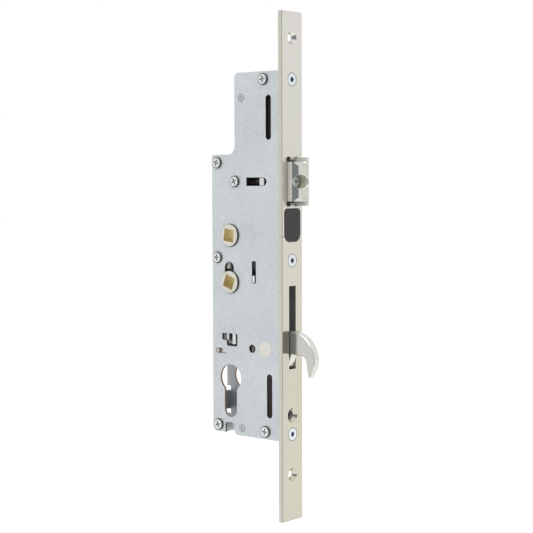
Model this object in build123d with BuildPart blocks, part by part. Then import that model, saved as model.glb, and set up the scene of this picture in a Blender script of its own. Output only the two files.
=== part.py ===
from build123d import *
import os
from math import asin, atan, cos, degrees, dist, radians, sin, sqrt, tan

os.makedirs("parts", exist_ok=True)

# A mortised centre case of a multipoint door lock, in millimetres.
# The origin is the middle of the cylinder hole's round part. X runs out through the faceplate,
# Z runs up, and the side with the screws, the near side, faces -Y.

# Case: two pressed sides, with the front flange and the tabs that are bent from the far one
back_set = 45.0
case_thickness = 15.5
sheet = 1.5
case_behind = 15.5
case_top_z = 195.2
case_bottom_z = -36.8
step_x = 3.9
step_z = 143.6
step_corner = 5.5
top_corner = 2.8
rear_corner = 1.0
foot_rise = 0.9
foot_corner = 3.0
notch_x = (-4.8, 2.6)
notch_top_z = -29.1
notch_corner = 2.0
notch_lead = 3.5

# Faceplate: two lengths that meet behind the plastic insert
faceplate_width = 20.0
faceplate_thickness = 3.0
faceplate_top_z = 231.5
faceplate_bottom_z = -87.5
faceplate_joint_z = 92.1
joint_gap = 0.3
faceplate_edge = 0.35

# Clearances
running_clearance = 0.07
seat_clearance = 0.04
slide_clearance = 0.25
side_clearance = 0.3
overrun = 5.0

# Cylinder hole
cylinder_radius = 8.75
cylinder_width = 10.4
cylinder_height = 34.2

# Spindle followers
upper_spindle_z = 92.0
lower_spindle_z = 62.0
spindle_square = 8.1
follower_radius = 7.3
follower_proud = 1.4
follower_collar_radius = 8.2
follower_edge = 0.4
upper_square_angle = -8.0
lower_square_angle = -20.0

# Cover screws and the posts that they go into, as X and Z
screw_places = [(28.1, 190.3), (-10.8, 138.5), (4.3, 126.5), (-10.8, 77.5), (-10.3, -31.2), (29.3, -31.8)]
screw_turns = [8, -12, 24, 3, 15, -6]
screw_head_radius = 3.7
screw_head_height = 1.25
screw_head_edge = 0.5
screw_shank_radius = 2.0
screw_length = 9.0
cross_width = 1.1
cross_length = 4.2
cross_depth = 0.8
cross_taper = 4.0
post_radius = 3.0
post_spigot_radius = 2.0

# Plain rivets that hold the two sides together
rivet_places = [(9.6, 179.3), (9.7, -31.8)]
rivet_radius = 2.35
rivet_dimple_radius = 1.3
rivet_dimple_depth = 0.35
rivet_proud = 0.15
rivet_edge = 0.4

# Slots and windows of the case sides
bar_slot_width = 4.4
bar_slot_length = 28.0
bar_slot_places = [(32.1, 166.4), (32.6, -9.0)]
small_slot_x = (18.2, 21.6)
small_slot_z = (61.9, 76.1)
small_slot_corner = 0.8
latch_slot_x = (13.8, 30.5)
latch_slot_width = 5.4
plunger_window_x = -0.85
plunger_window_radius = 3.85
plunger_window_top_z = 75.0
slide_window_x = (-7.2, 5.8)
slide_window_z = (20.6, 28.8)
slide_window_shelf_z = 24.2
slide_window_leg_x = -3.4
slide_window_corner = 1.2
peg_slot_x = (-12.9, -3.0)
peg_slot_z = 17.15
peg_slot_width = 3.3
plug_place = (29.0, 20.5)
plug_radius = 5.1
plug_proud = 0.1
sheet_edge = 0.22

# Bent tabs and relief notches of the far side
rear_tabs_z = [(-23.2, -11.0), (14.0, 57.0), (64.0, 132.0)]
relief_notch_depth = 3.0
relief_notch_height = 3.1
notch_tab_z = (-35.6, -27.5)
bottom_tab_x = (6.0, 25.0)
top_tab_x = (8.0, 38.0)
step_tab_x = (-13.0, 0.0)
upper_tab_z = (151.0, 190.0)

# Faceplate fixings, by height
fixing_hole_z = (215.3, -58.4)
fixing_hole_radius = 2.25
fixing_sink_radius = 4.3
cylinder_screw_z = -20.6
cylinder_screw_radius = 2.75
cylinder_screw_sink_radius = 4.8
block_screw_z = (189.6, 77.0, -32.7)
block_screw_radius = 2.0
block_screw_sink_radius = 4.3
block_screw_length = 10.4
sink_angle = 90.0
star_radius = 1.35
star_lobe_radius = 0.5
star_lobes = 6
star_depth = 1.3
block_depth = 6.2
block_height = 8.0
block_y = (-5.0, 2.9)

# Plastic insert
insert_width = 15.8
insert_z = (88.65, 109.65)
insert_top_corner = 2.6
insert_bottom_corner = 5.0
insert_proud = 0.45
insert_edge = 0.4
insert_tongue_width = 11.0
insert_tongue_z = (92.6, 106.8)
insert_tongue_depth = 2.2

# Latch: a cast head with a lower near part, a taller far part and scooped corners
latch_z = 126.3
latch_travel = 10.0
latch_opening_width = 10.8
latch_opening_height = 31.0
latch_opening_corner = 0.8
nib_y = 0.3
nib_width = 4.4
nib_length = 2.2
head_near_y = -4.75
head_far_y = 4.9
head_split_y = 3.4
head_height = 30.0
head_near_height = 24.6
head_rear_x = 38.5
head_slope_x = 48.5
head_knee = (51.6, -1.9)
head_tip_x = 54.7
head_edge = 0.35
scoop_radius = 6.5
scoop_out = 3.2
scoop_bite = 2.6
scoop_y = -0.9
counterbore_radius = 4.3
counterbore_edge = 0.25
latch_screw_head_radius = 3.4
latch_screw_head_height = 2.2
latch_screw_face_x = 48.0
latch_screw_radius = 1.9
latch_screw_length = 14.0

# Latch rod with its spring seat, its lug and its lever pin
rod_radius = 1.6
rod_block_x = 29.6
rod_block_height = 8.0
rod_block_y = 3.1
lug_x = (23.3, 26.8)
lug_height = 5.0
lug_near_y = -5.9
lug_thickness = 1.0
seat_radius = 3.3
seat_thickness = 1.2
lever_pin_radius = 1.8

# Latch spring and the plate that it pushes on
spring_wire_radius = 0.36
spring_turn_radius = 2.6
spring_turns = 7
guide_thickness = 1.0
guide_height = 9.0
guide_near_y = -3.8
guide_hole_radius = 2.0

# Layers of the mechanism across the case
far_layer = (3.3, 5.8)
hook_thickness = 5.5
blocking_layer = (-4.45, -3.05)
lock_layer = (-6.05, -4.65)

# Latch lever
lever_x = 26.4
upper_turn = 26.0
lever_boss_radius = 4.0
lever_pin_bore_radius = 2.0
lever_arm_width = 5.0
lever_tine = 1.9
lobe_tip_radius = 2.0
lobe_neck_width = 2.6
fork_beyond = 1.2
fork_depth = 4.5
pin_fork_beyond = 2.5

# Hook: it swings up and in about its pivot
hook_pivot = (18.3, 20.2)
hook_swing = 80.0
hook_reach = 46.92
hook_crown_share = (0.963, 0.010)
hook_neck_share = (0.588, 0.272)
hook_root_share = (0.217, 0.258)
hook_back_share = (-0.137, 0.105)
hook_belly_share = (0.045, -0.163)
hook_lobe_shares = [(0.170, -0.305), (0.328, -0.346), (0.461, -0.237),
                    (0.531, -0.213), (0.559, -0.149), (0.591, -0.049)]
hook_throat_share = (0.830, -0.048)
hook_tip_shares = [(0.875, -0.329), (0.929, -0.3325)]
hook_taper_share = -0.09
hook_tip_thickness = 2.1
hook_throat_corner_share = 0.098
hook_tip_corner_share = 0.019
hook_lobe_corner_share = 0.064
hook_boss_radius = 8.0
hook_edge = 0.8
hook_pin_radius = 2.62
hook_slot_z = (8.7, 61.1)
hook_slot_width = 6.6
flange_slot_rise = 1.2
pin_kerf_width = 0.8
pin_kerf_depth = 0.7
pin_recess = 0.8

# Drive slide: the bar behind the faceplate that turns the hook
drive_travel = 20.0
drive_pin_radius = 2.4
drive_slot_play = 0.75
drive_slide_x = (22.0, 38.0)
drive_slide_z = (-24.0, 66.0)
drive_neck_x = 31.5
drive_neck_top_z = 86.0
drive_corner = 2.0
guide_stud_x = 34.6
guide_stud_z = (4.0, 62.0)
guide_stud_radius = 2.2
arm_length = 26.0
arm_tip_radius = 3.0
arm_width = 8.0
arm_neck_width = 4.0
arm_neck_length = 9.0
arm_notch_play = 0.3

# Lock slide, moved by the cylinder's cam, and the blocking slide that it lifts
lock_travel = 6.5
blocking_travel = 9.0
lock_slide_x = (-13.4, 9.0)
lock_slide_z = (30.0, 37.6)
lock_leg_x = (-13.4, -6.6)
lock_leg_bottom_z = 14.6
lock_foot_x = (-13.4, -3.6)
lock_foot_top_z = 20.2
lock_tabs_x = [(-4.6, -3.0), (0.2, 2.8)]
lock_tab_bottom_z = 21.8
lock_tab_corner = 0.4
lock_corner = 0.8
peg_x = -11.1
peg_radius = 1.5
slide_pin_place = (-8.0, 34.0)
slide_pin_radius = 1.5
slide_stud_place = (4.0, 34.0)
slide_stud_radius = 2.0
foot_x = (-11.0, 17.0)
foot_z = (21.6, 37.6)
foot_cut = (13.0, 27.0)
strip_x = (11.0, 17.0)
strip_top_z = 67.2
strip_lug_width = 1.85
strip_lug_near_y = -7.6

# Plastic guide for the long bar, behind the upper slot
bar_guide_x = (24.0, 40.5)
bar_guide_y = (-5.2, -3.7)
bar_guide_z = (148.0, 184.0)

# Hollow plunger that presses on the lower follower, with its guide block
plunger_place = (-4.15, -3.4)
plunger_radius = 2.5
plunger_length = 10.8
plunger_travel = 1.5
plunger_gap = 0.15
plunger_bore_radius = 1.85
plunger_bore_depth = 5.5
plunger_cover = 0.4
plunger_block_lead = 1.0
plunger_block_inner_x = -0.9
plunger_block_wall = 0.6
plunger_spring_wire_radius = 0.28
plunger_spring_turn_radius = 1.4
plunger_spring_turns = 5

# Points per turn for measuring a spring's gap, and how many of them count as the same turn
coil_samples = 24
coil_skip_count = 18

# Worked out from the sizes above
half_case = case_thickness / 2
half_gap = half_case - sheet
front_x = back_set
back_x = back_set - faceplate_thickness
flange_x = back_x - sheet
lever_half_turn = degrees(atan(latch_travel / 2 / (latch_z - upper_spindle_z)))
upper_half_turn = upper_turn / 2
lever_rise = tan(radians(lever_half_turn))
lobe_radius = lever_x * lever_rise / (sin(radians(upper_half_turn)) + cos(radians(upper_half_turn)) * lever_rise)
lever_arm = dist((lever_x, 0), (lobe_radius * cos(radians(upper_half_turn)),
                                lobe_radius * sin(radians(upper_half_turn))))
lower_half_turn = degrees(asin(drive_travel / 2 / arm_length))
drive_pin_offset = drive_travel / 2 / tan(radians(hook_swing / 2))
drive_pin_place = (hook_pivot[0] + drive_pin_offset, hook_pivot[1] - drive_travel / 2)


def side_plane(y, x=0, z=0, turn=0):
    """The plane across the case at Y, seen from the near side, with its X axis turned by an angle."""
    along = (cos(radians(turn)), 0, sin(radians(turn)))
    return Plane(origin=(x, y, z), x_dir=along, z_dir=(0, -1, 0))


def front_plane(x, y=0, z=0):
    """The plane of the faceplate at X, with Y to its right and Z up."""
    return Plane(origin=(x, y, z), x_dir=(0, 1, 0), z_dir=(1, 0, 0))


def outline(corners, mode=Mode.ADD):
    """A closed face in the open sketch. Each corner is an x, a y and a corner radius."""
    with BuildLine() as border:
        FilletPolyline([(x, y) for x, y, r in corners], radius=[r for x, y, r in corners], close=True)
    make_face(border.line, mode=mode)


def block(x_range, y_range, radius=0, mode=Mode.ADD):
    """A rectangle between two pairs of limits, with round corners where a radius is given."""
    (x0, x1), (y0, y1) = x_range, y_range
    outline([(x0, y0, radius), (x1, y0, radius), (x1, y1, radius), (x0, y1, radius)], mode)


def case_outline():
    """The stepped outline that both case sides share, with the notch in its bottom edge."""
    bottom_z = case_bottom_z + foot_rise
    outline([
        (back_x, case_bottom_z, 0),
        (notch_x[1], case_bottom_z, notch_lead),
        (notch_x[1], notch_top_z, notch_corner),
        (notch_x[0], notch_top_z, notch_corner),
        (notch_x[0], bottom_z, 0),
        (-case_behind, bottom_z, foot_corner),
        (-case_behind, step_z, rear_corner),
        (step_x, step_z, step_corner),
        (step_x, case_top_z, top_corner),
        (back_x, case_top_z, 0),
    ])


def case_holes():
    """The holes that go through both case sides."""
    drop = cylinder_height - cylinder_radius - cylinder_width / 2
    Circle(cylinder_radius, mode=Mode.SUBTRACT)
    with Locations((0, -drop / 2)):
        Rectangle(cylinder_width, drop, mode=Mode.SUBTRACT)
    with Locations((0, -drop)):
        Circle(cylinder_width / 2, mode=Mode.SUBTRACT)
    with Locations((0, upper_spindle_z), (0, lower_spindle_z)):
        Circle(follower_radius + running_clearance, mode=Mode.SUBTRACT)
    with Locations(*rivet_places):
        Circle(rivet_radius + seat_clearance, mode=Mode.SUBTRACT)
    with Locations(hook_pivot):
        Circle(hook_pin_radius + seat_clearance, mode=Mode.SUBTRACT)
    with Locations(*bar_slot_places):
        SlotOverall(bar_slot_length, bar_slot_width, rotation=90, mode=Mode.SUBTRACT)


def biarc(start, start_way, end, end_way):
    """The middle point and direction where two tangent arcs between two directed points meet."""
    chord = end - start
    both = start_way + end_way
    square = 2 * (1 - start_way.dot(end_way))
    reach = (-chord.dot(both) + sqrt(chord.dot(both) ** 2 + square * chord.dot(chord))) / square
    first = start + start_way * reach
    second = end - end_way * reach
    return (first + second) * (1 / 2), (second - first).normalized()


def coil_points(turn_radius, length, turns):
    """Points and directions at each half turn of a coil that climbs its own Z axis."""
    pitch = length / turns
    steps = [i / 2 for i in range(2 * turns + 1)]
    points = [Vector(turn_radius * cos(radians(360 * s)), turn_radius * sin(radians(360 * s)), pitch * s)
              for s in steps]
    climb = pitch / (2 * radians(180))
    ways = [Vector(-turn_radius * sin(radians(360 * s)), turn_radius * cos(radians(360 * s)), climb).normalized()
            for s in steps]
    return points, ways


def coil(plane, turn_radius, wire_radius, length, turns):
    """A spring wire as one unbroken tube along biarcs of half a turn, placed on a plane."""
    points, ways = coil_points(turn_radius, length, turns)
    with BuildPart() as wire:
        with BuildLine() as path:
            for start, start_way, end, end_way in zip(points, ways, points[1:], ways[1:]):
                middle, middle_way = biarc(start, start_way, end, end_way)
                TangentArc(start, middle, tangent=start_way)
                TangentArc(middle, end, tangent=middle_way)
        with BuildSketch(Plane(origin=points[0], z_dir=ways[0])):
            Circle(wire_radius)
        sweep(path=path.line)
    count = coil_samples * turns
    samples = [path.line @ (i / count) for i in range(count + 1)]
    gap = min((a - b).length for i, a in enumerate(samples) for b in samples[i + coil_skip_count:]) - 2 * wire_radius
    print("least gap between the turns of a spring:", round(gap, 2))
    return plane.location * wire.part


def finish(part, label):
    """Names a piece and writes it."""
    part.label = label
    export_step(part, f"parts/{label}.step")


# Case cover: the near side with its slots, windows and screw holes
with BuildPart() as case_cover:
    with BuildSketch(side_plane(-half_gap)):
        case_outline()
        case_holes()
        with Locations(*screw_places):
            Circle(screw_shank_radius + side_clearance, mode=Mode.SUBTRACT)
        block(small_slot_x, small_slot_z, small_slot_corner, Mode.SUBTRACT)
        half_slot = latch_slot_width / 2
        round_x = latch_slot_x[1] - half_slot
        block((latch_slot_x[0], round_x), (latch_z - half_slot, latch_z + half_slot), 0, Mode.SUBTRACT)
        with Locations((round_x, latch_z)):
            Circle(half_slot, mode=Mode.SUBTRACT)
        window_z = plunger_window_top_z - plunger_window_radius
        with Locations((plunger_window_x, window_z)):
            Circle(plunger_window_radius, mode=Mode.SUBTRACT)
        window_x = (plunger_window_x - plunger_window_radius, plunger_window_x + plunger_window_radius)
        block(window_x, (lower_spindle_z, window_z), 0, Mode.SUBTRACT)
        outline([
            (slide_window_x[0], slide_window_z[1], slide_window_corner),
            (slide_window_x[0], slide_window_shelf_z, slide_window_corner),
            (slide_window_leg_x, slide_window_shelf_z, 0),
            (slide_window_leg_x, slide_window_z[0], slide_window_corner),
            (slide_window_x[1], slide_window_z[0], slide_window_corner),
            (slide_window_x[1], slide_window_z[1], slide_window_corner),
        ], Mode.SUBTRACT)
        with Locations((sum(peg_slot_x) / 2, peg_slot_z)):
            SlotOverall(peg_slot_x[1] - peg_slot_x[0], peg_slot_width, mode=Mode.SUBTRACT)
        with Locations(plug_place):
            Circle(plug_radius + seat_clearance, mode=Mode.SUBTRACT)
    extrude(amount=sheet)
    fillet(faces().sort_by(Axis.Y)[0].outer_wire().edges(), sheet_edge)
finish(case_cover.part, "case_cover")

# Plain round plug in the cover
with BuildPart() as cover_plug:
    with BuildSketch(side_plane(-half_gap, *plug_place)):
        Circle(plug_radius)
    extrude(amount=sheet + plug_proud)
    chamfer(faces().sort_by(Axis.Y)[0].edges(), plug_proud)
finish(cover_plug.part, "cover_plug")

# Case base: the far side
with BuildPart() as case_base:
    with BuildSketch(side_plane(half_case)):
        case_outline()
        case_holes()
        with Locations(*screw_places):
            Circle(post_spigot_radius + seat_clearance, mode=Mode.SUBTRACT)
        with Locations((lever_x, upper_spindle_z)):
            Circle(lever_pin_bore_radius + seat_clearance, mode=Mode.SUBTRACT)
        with Locations(slide_stud_place):
            Circle(slide_stud_radius + seat_clearance, mode=Mode.SUBTRACT)
        with Locations(*[(guide_stud_x, z) for z in guide_stud_z]):
            Circle(guide_stud_radius + seat_clearance, mode=Mode.SUBTRACT)
        notch_x_range = (-case_behind - overrun, -case_behind + relief_notch_depth)
        for low, high in rear_tabs_z:
            block(notch_x_range, (low - relief_notch_height, low), 0, Mode.SUBTRACT)
            block(notch_x_range, (high, high + relief_notch_height), 0, Mode.SUBTRACT)
    extrude(amount=sheet)
finish(case_base.part, "case_base")

# Front flange, bent from the far side, with its openings
with BuildPart() as case_flange:
    with BuildSketch(front_plane(flange_x)):
        block((-half_gap, half_gap), (case_bottom_z, case_top_z))
    extrude(amount=sheet)
    with BuildSketch(front_plane(flange_x)):
        opening = latch_opening_height / 2 + side_clearance
        half_opening = latch_opening_width / 2 + seat_clearance
        block((-half_opening, half_opening), (latch_z - opening, latch_z + opening))
        half_hook = hook_slot_width / 2 + seat_clearance
        block((-half_hook, half_hook), (hook_slot_z[0] - side_clearance, hook_slot_z[1] + flange_slot_rise))
        half_tongue = insert_tongue_width / 2 + seat_clearance
        block((-half_tongue, half_tongue),
              (insert_tongue_z[0] - seat_clearance, insert_tongue_z[1] + seat_clearance))
        with Locations(*[(0, z) for z in block_screw_z]):
            Circle(block_screw_radius + slide_clearance)
        with Locations((0, cylinder_screw_z)):
            Circle(cylinder_screw_radius)
    extrude(amount=sheet, mode=Mode.SUBTRACT)
finish(case_flange.part, "case_flange")

# Bent tabs that stand on the far side and close the case's edges
with BuildPart() as case_tabs:
    with BuildSketch(side_plane(half_gap)):
        for tab_z in rear_tabs_z:
            block((-case_behind, -case_behind + sheet), tab_z)
        block((notch_x[0] - sheet, notch_x[0]), notch_tab_z)
        block(bottom_tab_x, (case_bottom_z, case_bottom_z + sheet))
        block(top_tab_x, (case_top_z - sheet, case_top_z))
        block(step_tab_x, (step_z - sheet, step_z))
        block((step_x, step_x + sheet), upper_tab_z)
    extrude(amount=2 * half_gap)
finish(case_tabs.part, "case_tabs")

# Threaded posts between the sides, riveted into the far one
with BuildPart() as cover_posts:
    with BuildSketch(side_plane(half_gap)):
        with Locations(*screw_places):
            Circle(post_radius)
    extrude(amount=2 * half_gap)
    with BuildSketch(side_plane(half_case)):
        with Locations(*screw_places):
            Circle(post_spigot_radius)
    extrude(amount=sheet)
    with BuildSketch(side_plane(-half_gap)):
        with Locations(*screw_places):
            Circle(screw_shank_radius + seat_clearance)
    extrude(amount=-screw_length, mode=Mode.SUBTRACT)
finish(cover_posts.part, "cover_posts")

# Raised-head screws of the cover
with BuildPart() as cover_screws:
    with BuildSketch(side_plane(-half_case)):
        with Locations(*screw_places):
            Circle(screw_head_radius)
    extrude(amount=screw_head_height)
    fillet(faces().sort_by(Axis.Y)[:len(screw_places)].edges(), screw_head_edge)
    with BuildSketch(side_plane(-half_case)):
        with Locations(*screw_places):
            Circle(screw_shank_radius)
    extrude(amount=-screw_length)
    for place, turn in zip(screw_places, screw_turns):
        with BuildSketch(side_plane(-half_case - screw_head_height, *place, turn)):
            Rectangle(cross_length, cross_width)
            Rectangle(cross_width, cross_length)
        extrude(amount=-cross_depth, taper=cross_taper, mode=Mode.SUBTRACT)
finish(cover_screws.part, "cover_screws")

# Plain rivets, flush with both sides
with BuildPart() as dowel_rivets:
    with BuildSketch(side_plane(half_case + rivet_proud)):
        with Locations(*rivet_places):
            Circle(rivet_radius)
    extrude(amount=case_thickness + 2 * rivet_proud)
    chamfer(faces().filter_by(Axis.Y).edges(), rivet_edge)
    for side in (half_case + rivet_proud, -half_case - rivet_proud + rivet_dimple_depth):
        with BuildSketch(side_plane(side)):
            with Locations(*rivet_places):
                Circle(rivet_dimple_radius)
        extrude(amount=rivet_dimple_depth, mode=Mode.SUBTRACT)
finish(dowel_rivets.part, "dowel_rivets")


def faceplate_blank(low_z, high_z):
    """A length of faceplate with its long front edges broken."""
    half = faceplate_width / 2
    with BuildSketch(front_plane(back_x)) as blank:
        block((-half, half), (low_z, high_z))
    extrude(blank.sketch, amount=faceplate_thickness)
    chamfer(faces().sort_by(Axis.X)[-1].edges().filter_by(Axis.Z), faceplate_edge)


def sunk_holes(heights, radius, sink_radius):
    """Countersunk holes on the faceplate's middle line."""
    for z in heights:
        with Locations(front_plane(front_x, 0, z)):
            CounterSinkHole(radius=radius, counter_sink_radius=sink_radius, counter_sink_angle=sink_angle)


def insert_outline(grow, mode=Mode.ADD):
    """The outline of the plastic insert, grown by a clearance."""
    half = insert_width / 2 + grow
    low, high = insert_z[0] - grow, insert_z[1] + grow
    outline([
        (-half, low, insert_bottom_corner), (half, low, insert_bottom_corner),
        (half, high, insert_top_corner), (-half, high, insert_top_corner),
    ], mode)


# Upper faceplate with the latch opening, whose ends have a small nib each
with BuildPart() as faceplate_upper:
    faceplate_blank(faceplate_joint_z + joint_gap / 2, faceplate_top_z)
    with BuildSketch(front_plane(back_x)):
        half_width = latch_opening_width / 2
        half_height = latch_opening_height / 2
        block((-half_width, half_width), (latch_z - half_height, latch_z + half_height), latch_opening_corner)
        for z in (latch_z - half_height + nib_length / 2, latch_z + half_height - nib_length / 2):
            with Locations((nib_y, z)):
                Rectangle(nib_width, nib_length, mode=Mode.SUBTRACT)
        insert_outline(seat_clearance)
    extrude(amount=faceplate_thickness, mode=Mode.SUBTRACT)
    sunk_holes(fixing_hole_z[:1], fixing_hole_radius, fixing_sink_radius)
    sunk_holes(block_screw_z[:1], block_screw_radius + slide_clearance, block_screw_sink_radius)
finish(faceplate_upper.part, "faceplate_upper")

# Lower faceplate with the hook's slot
with BuildPart() as faceplate_lower:
    faceplate_blank(faceplate_bottom_z, faceplate_joint_z - joint_gap / 2)
    with BuildSketch(front_plane(back_x)):
        block((-hook_slot_width / 2, hook_slot_width / 2), hook_slot_z)
        insert_outline(seat_clearance)
    extrude(amount=faceplate_thickness, mode=Mode.SUBTRACT)
    sunk_holes(fixing_hole_z[1:], fixing_hole_radius, fixing_sink_radius)
    sunk_holes(block_screw_z[1:], block_screw_radius + slide_clearance, block_screw_sink_radius)
    sunk_holes([cylinder_screw_z], cylinder_screw_radius, cylinder_screw_sink_radius)
finish(faceplate_lower.part, "faceplate_lower")

# Countersunk screws of the faceplate, with star recesses
with BuildPart() as faceplate_screws:
    sink_depth = (block_screw_sink_radius - block_screw_radius) / tan(radians(sink_angle / 2))
    for z in block_screw_z:
        with BuildSketch(front_plane(front_x - seat_clearance, 0, z)):
            Circle(block_screw_sink_radius - seat_clearance)
        extrude(amount=-sink_depth, taper=sink_angle / 2)
        with BuildSketch(front_plane(front_x - seat_clearance, 0, z)):
            Circle(block_screw_radius)
        extrude(amount=-block_screw_length)
        with BuildSketch(front_plane(front_x - seat_clearance, 0, z)):
            Circle(star_radius)
            with PolarLocations(star_radius, star_lobes):
                Circle(star_lobe_radius)
        extrude(amount=-star_depth, mode=Mode.SUBTRACT)
finish(faceplate_screws.part, "faceplate_screws")

# Threaded blocks behind the flange
with BuildPart() as screw_blocks:
    with BuildSketch(front_plane(flange_x - block_depth)):
        for z in block_screw_z:
            block(block_y, (z - block_height / 2, z + block_height / 2), lock_corner)
        with Locations(*[(0, z) for z in block_screw_z]):
            Circle(block_screw_radius + seat_clearance, mode=Mode.SUBTRACT)
    extrude(amount=block_depth)
finish(screw_blocks.part, "screw_blocks")

# Plastic insert over the joint, with a tongue through the flange
with BuildPart() as joint_insert:
    with BuildSketch(front_plane(back_x)):
        insert_outline(0)
    extrude(amount=faceplate_thickness + insert_proud)
    chamfer(faces().sort_by(Axis.X)[-1].edges(), insert_edge)
    with BuildSketch(front_plane(back_x)):
        half_tongue = insert_tongue_width / 2
        block((-half_tongue, half_tongue), insert_tongue_z)
    extrude(amount=-sheet - insert_tongue_depth)
finish(joint_insert.part, "joint_insert")

# Latch head: slopes on the near side, taller on the far side, scooped at both ends
slope_rise = (head_tip_x - head_knee[0]) / (head_far_y - head_knee[1])
split_x = head_knee[0] + slope_rise * (head_split_y - head_knee[1])
scoop_x = head_knee[0] + slope_rise * (scoop_y - head_knee[1])
slope = atan(slope_rise)
with BuildPart() as latch_head:
    with BuildSketch(Plane.XY.offset(latch_z - head_near_height / 2)):
        outline([
            (head_rear_x, head_near_y, 0), (head_slope_x, head_near_y, head_edge),
            (*head_knee, head_edge), (split_x, head_split_y, 0), (head_rear_x, head_split_y, 0),
        ])
    extrude(amount=head_near_height)
    for side in (-1, 1):
        scoop_z = latch_z + side * (head_near_height / 2 - scoop_bite + sqrt(scoop_radius**2 - scoop_out**2))
        with Locations((scoop_x + scoop_out * cos(slope), scoop_y - scoop_out * sin(slope), scoop_z)):
            Sphere(scoop_radius, mode=Mode.SUBTRACT)
    with BuildSketch(Plane.XY.offset(latch_z - head_height / 2)):
        outline([
            (head_rear_x, head_split_y, 0), (split_x, head_split_y, 0),
            (head_tip_x, head_far_y, head_edge), (head_rear_x, head_far_y, 0),
        ])
    extrude(amount=head_height)
    bore_floor_x = latch_screw_face_x - latch_screw_head_height
    with BuildSketch(front_plane(bore_floor_x, 0, latch_z)):
        Circle(counterbore_radius)
    extrude(amount=head_tip_x - bore_floor_x, mode=Mode.SUBTRACT)
    rim = edges().filter_by(lambda e: abs(dist(tuple(e @ 0)[1:], (0, latch_z)) - counterbore_radius)
                            < counterbore_edge and (e @ 0).X > head_slope_x)
    chamfer(rim, counterbore_edge)
    with BuildSketch(front_plane(head_rear_x, 0, latch_z)):
        Circle(latch_screw_radius + slide_clearance)
    extrude(amount=bore_floor_x - head_rear_x, mode=Mode.SUBTRACT)
finish(latch_head.part, "latch_head")

# Screw that holds the latch head on its rod
with BuildPart() as latch_screw:
    with BuildSketch(front_plane(bore_floor_x, 0, latch_z)):
        Circle(latch_screw_head_radius)
    extrude(amount=latch_screw_head_height)
    fillet(faces().sort_by(Axis.X)[-1].edges(), screw_head_edge)
    with BuildSketch(front_plane(bore_floor_x, 0, latch_z)):
        Circle(latch_screw_radius)
    extrude(amount=-latch_screw_length)
    with BuildSketch(front_plane(latch_screw_face_x, 0, latch_z)):
        Rectangle(cross_length, cross_width)
        Rectangle(cross_width, cross_length)
    extrude(amount=-cross_depth, taper=cross_taper, mode=Mode.SUBTRACT)
finish(latch_screw.part, "latch_screw")

# Latch rod: threaded block, rod, spring seat, near lug and the far pin that the lever moves
post_x = screw_places[2][0]
guide_x = post_x + post_radius + seat_clearance
rod_end_x = guide_x + latch_travel + side_clearance
lever_pin_x = lever_x + latch_travel / 2
with BuildPart() as latch_rod:
    with BuildSketch(front_plane(rod_block_x)):
        half = rod_block_height / 2
        block((-rod_block_y, rod_block_y), (latch_z - half, latch_z + half), lock_corner)
    extrude(amount=head_rear_x - rod_block_x)
    with BuildSketch(front_plane(rod_end_x, 0, latch_z)):
        Circle(rod_radius)
    extrude(amount=rod_block_x - rod_end_x)
    with BuildSketch(front_plane(lug_x[0], 0, latch_z)):
        Circle(seat_radius)
    extrude(amount=seat_thickness)
    lug_z = (latch_z - lug_height / 2, latch_z + lug_height / 2)
    with BuildSketch(front_plane(lug_x[0])):
        block((lug_near_y, 0), lug_z)
    extrude(amount=seat_thickness)
    with BuildSketch(front_plane(lug_x[0])):
        block((lug_near_y, lug_near_y + lug_thickness), lug_z)
    extrude(amount=lug_x[1] - lug_x[0])
    with BuildSketch(side_plane(far_layer[1], lever_pin_x, latch_z)):
        Circle(lever_pin_radius)
    extrude(amount=far_layer[1])
    with BuildSketch(front_plane(head_rear_x, 0, latch_z)):
        Circle(latch_screw_radius + seat_clearance)
    screw_end_x = bore_floor_x - latch_screw_length
    extrude(amount=screw_end_x - side_clearance - head_rear_x, mode=Mode.SUBTRACT)
finish(latch_rod.part, "latch_rod")

# Plate behind the latch spring, fixed to the far side and leaning on a post
with BuildPart() as spring_plate:
    with BuildSketch(front_plane(guide_x)):
        half = guide_height / 2
        block((guide_near_y, half_gap), (latch_z - half, latch_z + half))
        with Locations((0, latch_z)):
            Circle(guide_hole_radius, mode=Mode.SUBTRACT)
    extrude(amount=guide_thickness)
finish(spring_plate.part, "spring_plate")

# Latch spring on its rod
spring_low_x = guide_x + guide_thickness + spring_wire_radius + seat_clearance
spring_length = lug_x[0] - seat_clearance - spring_wire_radius - spring_low_x
latch_spring = coil(front_plane(spring_low_x, 0, latch_z), spring_turn_radius, spring_wire_radius,
                    spring_length, spring_turns)
finish(latch_spring, "latch_spring")


def follower_hub():
    """A follower's round body at the sketch plane's origin, with its collar between the sides."""
    reach = half_case + follower_proud
    with BuildSketch(side_plane(reach)) as ring:
        Circle(follower_radius)
    extrude(ring.sketch, amount=2 * reach)
    chamfer(faces().filter_by(Axis.Y).edges(), follower_edge)
    with BuildSketch(side_plane(half_gap - slide_clearance)) as collar:
        Circle(follower_collar_radius)
    extrude(collar.sketch, amount=2 * (half_gap - slide_clearance))


def square_hole(turn):
    """The square spindle hole through the hub."""
    reach = half_case + follower_proud
    with BuildSketch(side_plane(reach, turn=turn)) as square:
        Rectangle(spindle_square, spindle_square)
    extrude(square.sketch, amount=2 * reach, mode=Mode.SUBTRACT)


layer_thickness = far_layer[1] - far_layer[0]

# Upper follower: its lobe moves the latch lever
with BuildPart() as upper_hub:
    follower_hub()
    with BuildSketch(side_plane(far_layer[1], turn=upper_half_turn)):
        block((0, lobe_radius), (-lobe_neck_width / 2, lobe_neck_width / 2))
        with Locations((lobe_radius, 0)):
            Circle(lobe_tip_radius)
    extrude(amount=layer_thickness)
    square_hole(upper_square_angle)
upper_follower = Pos(0, 0, upper_spindle_z) * upper_hub.part
finish(upper_follower, "upper_follower")

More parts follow.
